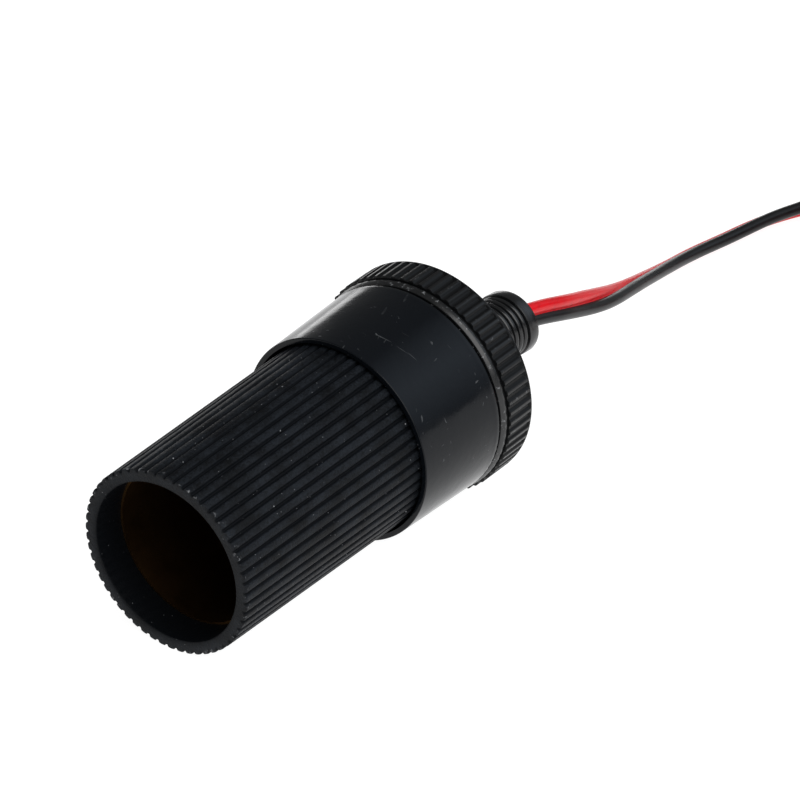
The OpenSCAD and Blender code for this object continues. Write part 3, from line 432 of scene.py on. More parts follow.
def core_insulation(name, colour, gloss, glow):
    """Extruded PVC insulation: an even colour with a wet gloss, faint scuffs from the coil and a little light carried
    under the skin."""
    material, tree, where = empty_material(name)
    patch = add_node(tree, NOISE, inputs={"Vector": where, "Scale": per_mm(6), "Detail": 3, "Roughness": 0.55})
    scuff = add_node(tree, MAPPING, STRETCH, {"Vector": where, "Rotation": (0, 0, 0.4), "Scale": (4, 1, 1)})
    scuff = add_node(tree, NOISE, inputs={"Vector": scuff, "Scale": per_mm(0.7), "Detail": 3, "Roughness": 0.6})
    scuff = add_node(tree, RANGE, inputs={0: scuff, 1: 0.52, 2: 0.74, 4: 0.55})
    cast = add_node(tree, MIX, COLOUR, {0: patch, 6: shade(colour, 0.8), 7: shade(colour, 1.2)}, 2)
    cast = add_node(tree, MIX, COLOUR, {0: scuff, 6: cast, 7: shade(colour, 0.45)}, 2)
    rough = add_node(tree, RANGE, inputs={0: patch, 1: 0.3, 2: 0.7, 3: gloss - 0.03, 4: gloss + 0.08})
    ripple = add_node(tree, NOISE, inputs={"Vector": where, "Scale": per_mm(0.9), "Detail": 2})
    normal = add_node(tree, BUMP, inputs={"Strength": 0.5, "Distance": 0.02 * MM, "Height": ripple})
    return finish_material(
        material, tree, Base_Color=cast, Roughness=rough, Normal=normal, IOR=1.54, Specular_IOR_Level=0.22,
        Subsurface_Weight=glow, Subsurface_Radius=(0.6 * MM, 0.2 * MM, 0.15 * MM), Subsurface_Scale=1.0
    )


def worked_metal(name, colour, gloss, marks):
    """Plated, turned or rolled metal: a mirror-like cast broken by fine marks from the tool, with patches of duller
    tarnish where it was handled."""
    material, tree, where = empty_material(name)
    patch = add_node(tree, NOISE, inputs={"Vector": where, "Scale": per_mm(2.5), "Detail": 4, "Roughness": 0.6})
    lines = add_node(tree, MAPPING, STRETCH, {"Vector": where, "Scale": marks})
    lines = add_node(tree, NOISE, inputs={"Vector": lines, "Scale": per_mm(0.2), "Detail": 2, "Roughness": 0.6})
    dull = add_node(tree, RANGE, inputs={0: patch, 1: 0.45, 2: 0.75, 4: 0.4})
    cast = add_node(tree, MIX, COLOUR, {0: dull, 6: colour, 7: shade(colour, 0.4)}, 2)
    rough = add_node(tree, RANGE, inputs={0: patch, 1: 0.3, 2: 0.75, 3: gloss, 4: gloss + 0.14})
    drag = add_node(tree, MATH, TIMES, {0: lines, 1: 0.08})
    rough = add_node(tree, MATH, PLUS, {0: rough, 1: drag})
    normal = add_node(tree, BUMP, inputs={"Strength": 0.35, "Distance": 0.01 * MM, "Height": lines})
    return finish_material(material, tree, Base_Color=cast, Roughness=rough, Normal=normal, Metallic=1.0)


def punched_board(colour):
    """Phenolic paper laminate, punched from sheet: brown resin with darker fibres and a satin face."""
    material, tree, where = empty_material("phenolic_paper_punched")
    fibre = add_node(tree, MAPPING, STRETCH, {"Vector": where, "Scale": (1, 6, 1)})
    fibre = add_node(tree, NOISE, inputs={"Vector": fibre, "Scale": per_mm(0.4), "Detail": 4, "Roughness": 0.65})
    cast = add_node(tree, MIX, COLOUR, {0: fibre, 6: shade(colour, 0.5), 7: shade(colour, 1.6)}, 2)
    rough = add_node(tree, RANGE, inputs={0: fibre, 1: 0.3, 2: 0.7, 3: 0.4, 4: 0.6})
    normal = add_node(tree, BUMP, inputs={"Strength": 0.5, "Distance": 0.02 * MM, "Height": fibre})
    return finish_material(material, tree, Base_Color=cast, Roughness=rough, Normal=normal, IOR=1.6)


def drawn_glass():
    """Drawn glass tube: clear, with a faint waviness that bends the reflections."""
    material, tree, where = empty_material("soda_glass_drawn")
    wave = add_node(tree, NOISE, inputs={"Vector": where, "Scale": per_mm(3), "Detail": 1})
    normal = add_node(tree, BUMP, inputs={"Strength": 0.4, "Distance": 0.02 * MM, "Height": wave})
    return finish_material(
        material, tree, Base_Color=(0.95, 0.98, 0.97, 1), Roughness=0.02, Normal=normal, IOR=1.52,
        Transmission_Weight=1.0
    )


MATERIALS = {}


class LEAD_OT_finishes(bpy.types.Operator):
    """Makes the materials that the pieces and the packed parts share"""

    bl_idname = "lead.finishes"
    bl_label = "Finishes"

    def execute(self, context):
        c = context.scene.lead_colours
        dust = list(c.dust)
        MATERIALS.update(
            barrel_plastic=ribbed_plastic(list(c.barrel), dust),
            collar_plastic=polished_plastic(list(c.collar), dust),
            cap_plastic=cap_plastic("abs_moulded_black", list(c.cap), dust, 0.3),
            plug_plastic=cap_plastic("abs_satin_black", list(c.plug), dust, 0.36),
            relief_pvc=soft_plastic("pvc_moulded_black", list(c.gland), dust, 0.22),
            tie_plastic=soft_plastic("pvc_tie_black", list(c.black), dust, 0.35),
            core_red=core_insulation("pvc_extruded_red", list(c.red), 0.32, 0.1),
            core_black=core_insulation("pvc_extruded_black", list(c.black), 0.3, 0.0),
            shell_metal=worked_metal("steel_rolled_brass_washed", list(c.shell), 0.36, (12, 1, 1)),
            brass_contact=worked_metal("brass_turned", list(c.brass), 0.22, (1, 4, 4)),
            tinned_brass=worked_metal("brass_tinned", list(c.tin), 0.32, (3, 1, 1)),
            nickel=worked_metal("brass_nickel_plated", list(c.nickel), 0.14, (1, 5, 5)),
            zinc_steel=worked_metal("steel_zinc_plated", list(c.zinc), 0.28, (1, 3, 3)),
            spring_steel=worked_metal("steel_spring_drawn", list(c.steel), 0.25, (1, 1, 1)),
            base_phenolic=punched_board(list(c.phenolic)),
            fuse_glass=drawn_glass(),
        )
        return {"FINISHED"}


# The socket's pieces

def rib_groove(u):
    """How deep the groove is at u, the share of the pitch from a rib's middle: flat on the rib, falling to 1 between."""
    u = np.abs((u + 0.5) % 1 - 0.5)
    crown = 0.12 * (u / 0.28) ** 2
    return np.minimum(crown, 0.12) + (1 - 0.12) * smooth_step(0.28, 0.42, u)


class LEAD_OT_barrel(bpy.types.Operator):
    """Ribbed barrel: a closed profile of station and radius is carried round the axis, and its radius is lowered by
    the rib function of the angle where the profile is marked as ribbed, and by a helix where it is threaded"""

    bl_idname = "lead.barrel"
    bl_label = "Ribbed barrel"

    def execute(self, context):
        z = context.scene.lead_socket
        front, rear = z.barrel_front_d / MM / 2, z.barrel_rear_d / MM / 2
        length, mouth, room = z.rib_length / MM, z.mouth_d / MM / 2, z.shell_room_d / MM / 2
        land, spigot, depth = z.land_d / MM / 2, z.spigot_d / MM / 2, z.rib_depth / MM
        # Columns: station, radius, share of the rib relief, share of the thread, and the length cut at the corner.
        corners = [
            (0, mouth, 0, 0, 0.25),
            (0, mouth + 1.1, 0, 0, 0.1),
            (0, front, 1, 0, 0.13),
            (length, rear, 1, 0, 0.05),
            (length, land, 0, 0, 0.05),
            (47.9, land, 0, 0, 0.2),
            (47.9, spigot, 0, 0, 0.1),
            (52.7, spigot, 0, 0, 0.35),
            (52.7, room, 0, 0, 0.15),
            (47.05, room, 0, 0, 0.04),
            (47.05, room + 0.4, 0, 0, 0.04),
            (46, room + 0.4, 0, 0, 0.04),
            (46, room, 0, 0, 0.04),
            (4.7, room, 0, 0, 0.03),
            (4.7, mouth, 0, 0, 0.06),
        ]
        profile = round_corners(corners, 2)
        rows = []
        thread = np.linspace(48.3, 52.2, 32)
        for i, row in enumerate(profile):
            rows.append(row)
            nxt = profile[(i + 1) % len(profile)]
            if row[2] > 0.99 and nxt[2] > 0.99 and nxt[0] - row[0] > 5:
                t = (np.linspace(0, 1, 12) ** 2.2)[1:-1, None]
                rows.extend(row * (1 - t) + nxt * t)
            if abs(row[1] - spigot) < 1e-6 and nxt[0] - row[0] > 3:
                wave = np.stack([thread, np.full(32, spigot), np.zeros(32), np.ones(32)], axis=1)
                rows.extend(wave)
        profile = np.array(rows)
        offsets = np.array([0, 0.14, 0.26, 0.31, 0.35, 0.39, 0.43, 0.5, -0.43, -0.39, -0.35, -0.31, -0.26, -0.14])
        ribs = z.rib_count
        pitch = 2 * np.pi / ribs
        angle = (np.pi / 2 + pitch * (np.arange(ribs)[:, None] + np.sort(offsets)[None])).ravel()
        share = np.tile(np.sort(offsets), ribs)
        relief = rib_groove(share)[None] * profile[:, 2, None]
        turn = profile[:, 0, None] / (z.thread_pitch / MM) - angle[None] / (2 * np.pi)
        ridge = smooth_step(0.16, 0.36, np.abs((turn + 0.5) % 1 - 0.5))
        ends = smooth_step(48.3, 48.8, profile[:, 0, None]) * profile[:, 3, None]
        r = profile[:, 1, None] - depth * relief - 0.4 * ridge * ends
        points = SOCKET.turned(profile[:, 0, None], r, angle[None]).reshape(-1, 3)
        faces = outward(points, grid_faces(len(profile), len(angle), True, True))
        rim = np.exp(-((profile[:, 0, None] - 0.05) / 0.25) ** 2) * profile[:, 2, None] * (1 - rib_groove(share)[None])
        # Painted shade: the "groove" values rise towards the bottom of each groove and inside the mouth's bore, where
        # the material paints the plastic darker.
        inside = smooth_step(mouth + 0.5, mouth, profile[:, 1, None])
        values = {"groove": np.maximum(relief, inside), "edge": np.broadcast_to(rim, r.shape)}
        piece = make_piece("ribbed_barrel", points, faces, [MATERIALS["barrel_plastic"]], 40, values=values)
        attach(piece, "socket")
        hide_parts("grip_barrel")
        return {"FINISHED"}


class LEAD_OT_collar(bpy.types.Operator):
    """Smooth collar: a thin closed profile that widens towards the rear, carried round the axis"""

    bl_idname = "lead.collar"
    bl_label = "Collar"

    def execute(self, context):
        z = context.scene.lead_socket
        front, rear, wall = z.collar_front_d / MM / 2, z.collar_rear_d / MM / 2, z.collar_wall / MM
        hole = z.spigot_d / MM / 2 + 0.1
        corners = [
            (34.3, front - wall, 0.08),
            (34.3, front, 0.16),
            (48.2, front + (rear - front) * 0.93, 0.4),
            (48.75, rear, 0.3),
            (49.3, rear - 0.04, 0.2),
            (49.3, hole, 0.1),
            (47.9, hole, 0.1),
            (47.9, rear - wall, 0.4),
        ]
        piece = turned_piece("smooth_collar", SOCKET, corners, 384, MATERIALS["collar_plastic"], 4)
        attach(piece, "socket")
        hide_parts("collar")
        return {"FINISHED"}


class LEAD_OT_rear_cap(bpy.types.Operator):
    """Knurled screw cap: a closed profile carried round the axis, whose radius between the two ends of the knurl
    rises and falls with the tooth function of the angle"""

    bl_idname = "lead.rear_cap"
    bl_label = "Knurled cap"

    def execute(self, context):
        z = context.scene.lead_socket
        lip, tip, depth = z.cap_lip_d / MM / 2, z.knurl_d / MM / 2, z.knurl_depth / MM
        root = tip - depth
        bore = z.spigot_d / MM / 2 + 0.1
        hole = 4.1
        # Columns: station, radius, share of the tooth relief, and the length cut at the corner.
        corners = [
            (49.7, bore, 0, 0.2),
            (49.7, lip - 0.3, 0, 0.12),
            (50.2, lip - 0.04, 0, 0.12),
            (50.6, lip, 0, 0.15),
            (50.75, lip - 0.22, 0, 0.08),
            (50.9, lip - 0.2, 0, 0.05),
            (50.9, root, 0, 0.03),
            (50.92, root, 1, 0.01),
            (51.1, root, 1, 0.05),
            (55.1, root, 1, 0.05),
            (55.25, tip - 0.03, 0, 0.05),
            (55.5, tip - 0.03, 0, 0.08),
            (55.62, tip - 0.2, 0, 0.05),
            (56.1, root - 0.5, 0, 0.25),
            (56.1, hole + 3.4, 0, 0.15),
            (55.9, hole + 3.1, 0, 0.15),
            (55.9, hole + 1.4, 0, 0.15),
            (56.1, hole + 1.1, 0, 0.15),
            (56.1, hole, 0, 0.15),
            (54.6, hole, 0, 0.1),
            (54.6, bore, 0, 0.4),
        ]
        profile = round_corners(corners, 3)
        offsets = np.array([-0.5, -0.43, -0.36, -0.29, -0.22, -0.15, -0.08, 0, 0.08, 0.15, 0.22, 0.29, 0.36, 0.43])
        teeth = z.knurl_count
        angle = (np.pi / 2 + 2 * np.pi / teeth * (np.arange(teeth)[:, None] + offsets[None])).ravel()
        share = np.tile(np.abs(offsets), teeth)
        tooth = 1 - smooth_step(0.1, 0.4, share)
        r = profile[:, 1, None] + depth * tooth[None] * profile[:, 2, None]
        points = SOCKET.turned(profile[:, 0, None], r, angle[None]).reshape(-1, 3)
        faces = outward(points, grid_faces(len(profile), len(angle), True, True))
        ridge = (1 - smooth_step(0.06, 0.2, share))[None] * profile[:, 2, None]
        rim = (smooth_step(49.5, 49.7, profile[:, 0]) - smooth_step(50.6, 50.8, profile[:, 0]))[:, None]
        ridge = np.maximum(0.5 * ridge, rim)
        piece = make_piece(
            "knurled_cap", points, faces, [MATERIALS["cap_plastic"]], 35, values={"edge": np.broadcast_to(ridge, r.shape)}
        )
        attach(piece, "cap")
        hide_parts("rear_cap")
        return {"FINISHED"}


def cord_bore(angle, core_r, play):
    """Radius of a bore round two cores that stand one over the other: the farther edge of two circles and the slot
    between them, at each angle from the side."""
    r, off = core_r + play, core_r
    x, y = np.cos(angle), np.abs(np.sin(angle))
    circle = y * off + np.sqrt(np.maximum(r ** 2 - (x * off) ** 2, 0))
    slot = r / np.maximum(np.abs(x), 1e-6)
    return np.where(y * slot < off, slot, circle)


class LEAD_OT_gland(bpy.types.Operator):
    """Ringed cord gland: outside, a profile of rings carried round the axis; inside, the outline of the two cores"""

    bl_idname = "lead.gland"
    bl_label = "Cord gland"

    def execute(self, context):
        z = context.scene.lead_socket
        core = context.scene.lead_cord.core_d / MM / 2
        ring, end = z.gland_ring_d / MM / 2, z.gland_end_d / MM / 2
        corners = [(53.4, 5.6, 0, 0.15), (54.5, 5.6, 0, 0.15), (54.5, 4.0, 0, 0.1), (56.2, 4.0, 0, 0.05),
                   (56.2, ring, 0, 0.15), (58.3, ring, 0, 0.15)]
        pitch = 11.4 / 12
        for i in range(12):
            s = 58.4 + i * pitch
            corners += [
                (s + 0.06, ring - 0.5, 0, 0.08),
                (s + 0.18, ring - 0.5, 0, 0.08),
                (s + 0.28, ring - 0.13, 0, 0.14),
                (s + 0.6, ring, 0, 0.15),
                (s + 0.84, ring - 0.05, 0, 0.1),
            ]
        corners += [
            (69.75, ring - 0.4, 0, 0.08),
            (69.8, end, 0, 0.18),
            (71.7, end, 0, 0.45),
            (71.7, 3.4, 0, 0.1),
            (71.6, 3.0, 0.5, 0.1),
            (69, 2.4, 0.8, 0.3),
            (66, 0, 1, 0.3),
            (53.4, 0, 1, 0.15),
        ]
        profile = round_corners(corners, 2)
        angle = np.linspace(0, 2 * np.pi, 144, endpoint=False)
        share = profile[:, 2, None]
        # The bore's play lets the gland slide along the bent cord as the cap is unscrewed.
        bore = cord_bore(angle, core, 0.3)[None]
        r = profile[:, 1, None] * (1 - share) + bore * share
        r = np.where(share > 0, np.maximum(r, bore), r)
        points = SOCKET.turned(profile[:, 0, None], r, angle[None]) + gland_lean(profile[:, 0, None])
        points = points.reshape(-1, 3)
        faces = outward(points, grid_faces(len(profile), 144, True, True))
        piece = make_piece("ringed_gland", points, faces, [MATERIALS["relief_pvc"]], 40)
        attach(piece, "gland")
        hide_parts("strain_relief")
        return {"FINISHED"}


# The cord

# Each row is a place in millimetres and the angle of the red core, where 0 is to the right and 90 on top.
ROUTE_IN = [
    (36, -0.5, 16.07, 91),
    (38.8, -0.7, 15.6, 92),
    (42.4, -0.75, 14.75, 95),
    (46.7, -0.75, 13.5, 98),
    (52.4, -0.05, 11.5, 109),
    (58.5, 0.85, 9.42, 138),
    (67.4, 2.9, 6.62, 183),
    (76.5, 4.9, 4.2, 203),
    (84.4, 6.2, 2.5, 212),
    (91.4, 6.5, 1.6, 211),
    (97, 5.8, 1.4, 211),
    (102, 4.9, 1.5, 213),
    (106.6, 3.6, 1.7, 218),
    (110.8, 2, 1.8, 225),
    (115.4, 0.4, 1.9, 246),
    (119.6, -0.8, 1.9, 270),
    (123.6, -1.85, 1.9, 292),
]
# Past the coil the cord lies flat and drops under the plug, then turns up and over into it.
ROUTE_OUT = [
    (116.5, -48.6, 5.7),
    (111.5, -48.7, 5.3),
    (106.5, -48.5, 4.3),
    (101, -47.9, 3.1),
    (95, -46.9, 2),
    (89, -45.6, 1.3),
    (83, -44.2, 1),
    (77, -42.8, 1),
    (71, -41.5, 1.15),
    (66, -40.7, 1.6),
    (63.33, -40.3, 1.95),
    (60.09, -40, 3.46),
    (57.08, -39.7, 6.75),
    (55.74, -39.55, 11),
    (56.32, -39.5, 15.42),
    (58.72, -39.5, 19.18),
    (62.48, -39.5, 21.58),
]
COIL_CENTRE = np.array([120.4, -25.2, 0])
TIE_ANGLE = 30


def coil_rows(coil_d, lay):
    """The coil: it turns clockwise from 72 degrees to -90 degrees through five whole turns more. Each turn keeps its
    slot, a radius and a height, and slides to the next between -120 and -240 degrees; the step to the upper layer
    bulges inwards. Under the tie the turns are drawn together, each with its cores at 45 degrees."""
    swept = np.linspace(0, 1962, 118)
    theta = 72 - swept
    radii = coil_d / 2 + lay * np.array([1, 0, -1, -1, 0, 1])
    heights = lay * np.array([0.5, 0.5, 0.5, 1.5, 1.5, 1.5])
    passed = (swept - 192) / 360
    turn = np.clip(np.floor(passed), -1, 4)
    share = smooth_step(0, 1 / 3, passed - turn)
    before = np.clip(turn, 0, 5).astype(int)
    after = np.clip(turn + 1, 0, 5).astype(int)
    share = np.where(turn < 0, 0, share)
    r = radii[before] * (1 - share) + radii[after] * share
    z = heights[before] * (1 - share) + heights[after] * share
    rise = (turn == 2) * np.sin(np.pi * share)
    r = r - 1.5 * rise
    near = np.exp(-(((theta - TIE_ANGLE + 180) % 360 - 180) / 16) ** 2)
    r = r + near * (coil_d / 2 - r) * 0.13
    z = z + near * (lay - z) * 0.13
    crossing = [0, 42, 402, 762, 1122, 1482, 1842, 1962]
    roll = np.interp(swept, crossing, [306, 315, 675, 945, 1305, 1575, 1845, 1980])
    x = COIL_CENTRE[0] + r * np.cos(np.radians(theta))
    y = COIL_CENTRE[1] + r * np.sin(np.radians(theta))
    return np.stack([x, y, z, roll], axis=1)


def cord_rows(sizes):
    """All the cord's points and rolls, from inside the gland, through the coil, to inside the plug's strain relief,
    and how many of them lie past the coil."""
    gland = [(*((SOCKET.points(s, 0.0, 0.0) + gland_lean(s)) / MM), 90) for s in np.array([59.4, 65, 69])]
    tail = [tuple(PLUG.points(np.float64(t), 0.0, 0.0) / MM) for t in (84.7, 77.9, 67.6)]
    coil = coil_rows(sizes.coil_d / MM, sizes.lay / MM)
    out = np.array(ROUTE_OUT + tail, float)
    out = np.column_stack([out, np.full(len(out), coil[-1, 3])])
    return np.concatenate([np.array(gland + ROUTE_IN, float), coil, out]), len(out)


def natural_spline(rows, step):
    """A natural cubic spline through the rows, sampled about every step of chord length."""
    gap = np.linalg.norm(np.diff(rows[:, :3], axis=0), axis=1)
    knots = np.concatenate([[0], np.cumsum(gap)])
    n = len(rows)
    system = np.eye(n)
    right = np.zeros_like(rows)
    inner = np.arange(1, n - 1)
    system[inner, inner - 1] = gap[:-1]
    system[inner, inner] = 2 * (gap[:-1] + gap[1:])
    system[inner, inner + 1] = gap[1:]
    slope = np.diff(rows, axis=0) / gap[:, None]
    right[inner] = 6 * (slope[1:] - slope[:-1])
    bend = np.linalg.solve(system, right)
    at = np.linspace(0, knots[-1], int(knots[-1] / step) + 1)
    k = np.clip(np.searchsorted(knots, at, side="right") - 1, 0, n - 2)
    h = gap[k][:, None]
    a = (knots[k + 1] - at)[:, None] / h
    b = 1 - a
    return a * rows[k] + b * rows[k + 1] + ((a ** 3 - a) * bend[k] + (b ** 3 - b) * bend[k + 1]) * h ** 2 / 6


def unit(v):
    """Vectors of length one."""
    return v / np.linalg.norm(v, axis=-1, keepdims=True)


def pair_section(core_r, web):
    """The outline of two joined cores: two circles that touch, each left open where the web of that thickness joins
    them. Returns the offsets across and up; the second core's points make up the second half."""
    open_angle = np.arcsin(web / 2 / core_r)
    round_angle = np.linspace(open_angle, 2 * np.pi - open_angle, 17)
    first = np.stack([core_r - core_r * np.cos(round_angle), core_r * np.sin(round_angle)], axis=1)
    second = -first
    middle = np.array([[0, -web / 2 * 0.92]])
    return np.concatenate([first, middle, second, -middle])


class LEAD_OT_cord(bpy.types.Operator):
    """Twin cord: the outline of two joined cores is carried along one smooth spline and turned with the roll"""

    bl_idname = "lead.cord"
    bl_label = "Twin cord"

    def execute(self, context):
        sizes = context.scene.lead_cord
        core_r = sizes.core_d / MM / 2
        marks, past = cord_rows(sizes)
        rows = natural_spline(marks, 0.85)
        path = rows[:, :3]
        ahead = unit(np.gradient(path, axis=0))
        side = unit(np.cross(ahead, [0, 0, 1]))
        top = np.cross(side, ahead)
        roll = np.radians(rows[:, 3])[:, None]
        across = side * np.cos(roll) + top * np.sin(roll)
        # Past the coil the red core stays towards -Y, also where the cord stands upright and has no right-hand side.
        level = -unit(np.array([0, 1, 0]) - ahead[:, 1:2] * ahead)
        leaves = np.linalg.norm(path - marks[-past, :3], axis=1).argmin()
        across = np.where(np.arange(len(path))[:, None] < leaves, across, level)
        upwards = np.cross(across, ahead)
        outline = pair_section(core_r, sizes.web / MM)
        n = len(outline)
        points = path[:, None] + outline[None, :, :1] * across[:, None] + outline[None, :, 1:] * upwards[:, None]
        points = points.reshape(-1, 3) * MM
        quads = grid_faces(len(path), n, False, True)
        black = np.tile(np.arange(n) >= n // 2, len(path) - 1)
        start = list(range(n))
        end = list(range(len(path) * n - n, len(path) * n))
        a, b, c, d = (points[quads[:, k]] for k in range(4))
        flip = np.einsum("ij,ij->", a, np.cross(b, c)) + np.einsum("ij,ij->", a, np.cross(c, d)) < 0
        faces = (quads[:, ::-1] if flip else quads).tolist()
        faces += [start, end[::-1]] if flip else [start[::-1], end]
        which = np.concatenate([black, [1, 1]])
        piece = make_piece(
            "twin_cord", points, faces, [MATERIALS["core_red"], MATERIALS["core_black"]], 60, which=which, weighted=False
        )
        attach(piece, "socket")
        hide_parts("cord_tube", "cord_coil", "cord_tail")
        tuple(SOCKET.points(np.float64(71.7), 0.0, 0.0) + gland_lean(np.float64(71.7)))
        return {"FINISHED"}


def tube_points(path, radius, sides):
    """A round tube: a circle of the given radius at each point, square to the path."""
    ahead = unit(np.gradient(path, axis=0))
    side = unit(np.cross(ahead, [0.13, 0.21, 0.97]))
    top = np.cross(side, ahead)
    angle = np.linspace(0, 2 * np.pi, sides, endpoint=False)
    ring = side[:, None] * np.cos(angle)[None, :, None] + top[:, None] * np.sin(angle)[None, :, None]
    return path[:, None] + np.asarray(radius).reshape(-1, 1, 1) * ring


def closed_tubes(name, tubes, materials, smooth=60):
    """One piece of several tubes, each with its two ends closed by a face."""
    points, faces, base = [], [], 0
    for tube in tubes:
        rows, sides = tube.shape[:2]
        flat = tube.reshape(-1, 3)
        quads = grid_faces(rows, sides, False, True)
        middle = flat.mean(axis=0)
        turned = outward(flat - middle, quads)
        same = turned is quads
        start = list(range(sides))
        end = list(range(rows * sides - sides, rows * sides))
        caps = [start[::-1], end] if same else [start, end[::-1]]
        faces += (turned + base).tolist() + [[i + base for i in cap] for cap in caps]
        points.append(flat)
        base += rows * sides
    return make_piece(name, np.concatenate(points) * MM, faces, materials, smooth, weighted=False)


class LEAD_OT_tie(bpy.types.Operator):
    """Twist tie: a flat band with a wire ridge follows a rounded rectangle round the coil's section, and its two ends
    are twisted together as a double helix that lies on the coil"""

    bl_idname = "lead.tie"
    bl_label = "Tie"

    def execute(self, context):
        sizes = context.scene.lead_cord
        lay = sizes.lay / MM
        core = lay / 2
        mean = sizes.coil_d / MM / 2
        out = np.array([math.cos(math.radians(TIE_ANGLE)), math.sin(math.radians(TIE_ANGLE)), 0])
        round_it = np.array([-out[1], out[0], 0])
        up = np.array([0.0, 0.0, 1.0])
        inner, outer = mean - lay, mean + lay
        corner = core - 0.3
        centres = [(outer, 3 * core, 0), (inner, 3 * core, 90), (inner, core, 180), (outer, core, 270)]
        turn = np.radians(np.linspace(0, 90, 7))
        path, normal = [], []
        for rho, z, first in centres:
            a = turn + math.radians(first)
            path.append(np.stack([rho + corner * np.cos(a), z + corner * np.sin(a)], axis=1))
            normal.append(np.stack([np.cos(a), np.sin(a)], axis=1))
        path, normal = np.concatenate(path), np.concatenate(normal)
        half = sizes.tie_w / MM / 2
        # The band's section: across the band, and its height over the band's middle
        across = np.array([-1, -0.94, -0.5, -0.22, -0.1, 0, 0.1, 0.22, 0.5, 0.94, 1, 0.94, 0.5, 0, -0.5, -0.94]) * half
        height = np.array([0, 0.16, 0.16, 0.18, 0.28, 0.3, 0.28, 0.18, 0.16, 0.16, 0, -0.16, -0.16, -0.2, -0.16, -0.16])
        rho = path[:, None, 0] + normal[:, None, 0] * height[None]
        z = path[:, None, 1] + normal[:, None, 1] * height[None]
        points = COIL_CENTRE + rho[..., None] * out + z[..., None] * up + across[None, :, None] * round_it
        points = points.reshape(-1, 3)
        faces = outward(points - points.mean(axis=0), grid_faces(len(path), len(across), True, True))
        band_piece = make_piece("coil_tie", points * MM, faces, [MATERIALS["tie_plastic"]], 50)
        t = np.linspace(0, 1, 60)
        top = COIL_CENTRE + (mean + 1.2) * out + (4 * core + 0.55) * up
        run = top + (t[:, None] * -11) * out + (t[:, None] * 1.4 * round_it) + np.sin(t * np.pi)[:, None] * 0.5 * up
        tubes = []
        for phase in (0, np.pi):
            wind = 2 * np.pi * 3.5 * t + phase
            spread = 0.45 + 0.5 * smooth_step(0.8, 1, t)
            offset = np.cos(wind)[:, None] * round_it + np.sin(wind)[:, None] * 0.8 * up
            thickness = 0.42 * np.sqrt(np.clip(1 - (2 * t - 1) ** 20, 0.02, 1))
            tubes.append(tube_points(run + spread[:, None] * offset, thickness, 10))
        ends = closed_tubes("coil_tie_ends", tubes, [MATERIALS["tie_plastic"]])
        for piece in (band_piece, ends):
            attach(piece, "socket")
        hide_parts("cord_tie")
        return {"FINISHED"}


# The plug's pieces

class LEAD_OT_spring(bpy.types.Operator):
    """Fuse spring: a wire follows a helix whose end turns lie flat"""

    bl_idname = "lead.spring"
    bl_label = "Fuse spring"

    def execute(self, context):
        wire, mean, turns = 0.3, 2.675, 5
        low, high = 42.6 + wire + 0.02, 48.8 - wire - 0.02
        t = np.linspace(0, 1, turns * 26 + 1)
        rise = smooth_step(0.0, 1.0, t) * 0.35 + t * 0.65
        angle = 2 * np.pi * turns * t
        path = PLUG.points(low + (high - low) * rise, mean * np.cos(angle), mean * np.sin(angle)) / MM
        piece = closed_tubes("fuse_spring_wire", [tube_points(path, np.full(len(t), wire), 10)], [MATERIALS["spring_steel"]])
        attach(piece, "socket")
        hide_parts("fuse_spring")
        anchor = tuple(PLUG.points(np.float64(48.8), 0.0, 0.0))
        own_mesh(piece)
        return {"FINISHED"}


NODE_FINISH = {
    "contact_shell": "shell_metal",
    "shell_base": "base_phenolic",
    "snap_ring": "spring_steel",
    "centre_contact": "brass_contact",
    "positive_tag": "tinned_brass",
    "contact_washer": "zinc_steel",
    "contact_nut": "zinc_steel",
    "lead_red": "core_red",
    "lead_black": "core_black",
    "plug_strain_relief": "relief_pvc",
    "plug_shell_upper": "plug_plastic",
    "plug_shell_lower": "plug_plastic",
    "plug_screw": "zinc_steel",
    "nose_ring": "nickel",
    "nose_washer": "base_phenolic",
    "tip_pin": "nickel",
    "fuse_glass": "fuse_glass",
    "fuse_caps": "nickel",
    "fuse_wire": "tinned_brass",
    "spring_seat": "brass_contact",
    "side_contact_left": "nickel",
    "side_contact_right": "nickel",
    "ground_strap": "tinned_brass",
    "plug_lead_red": "core_red",
    "plug_lead_black": "core_black",
}


class LEAD_OT_hardware(bpy.types.Operator):
    """Gives the packed parts that keep their own shape their finishes"""

    bl_idname = "lead.hardware"
    bl_label = "Packed parts"

    def execute(self, context):
        for name, finish in NODE_FINISH.items():
            part = frame["nodes"][name]
            part.data.materials.clear()
            part.data.materials.append(MATERIALS[finish])
        return {"FINISHED"}


# Floor, light and camera

CAMERA_PLACE = (-0.43825, -0.34070, 0.32744)
CAMERA_RIGHT = (0.60330, -0.79751, 0.0)
CAMERA_UP = (0.38658, 0.29244, 0.87466)
CAMERA_BACK = (-0.69755, -0.52769, 0.48473)


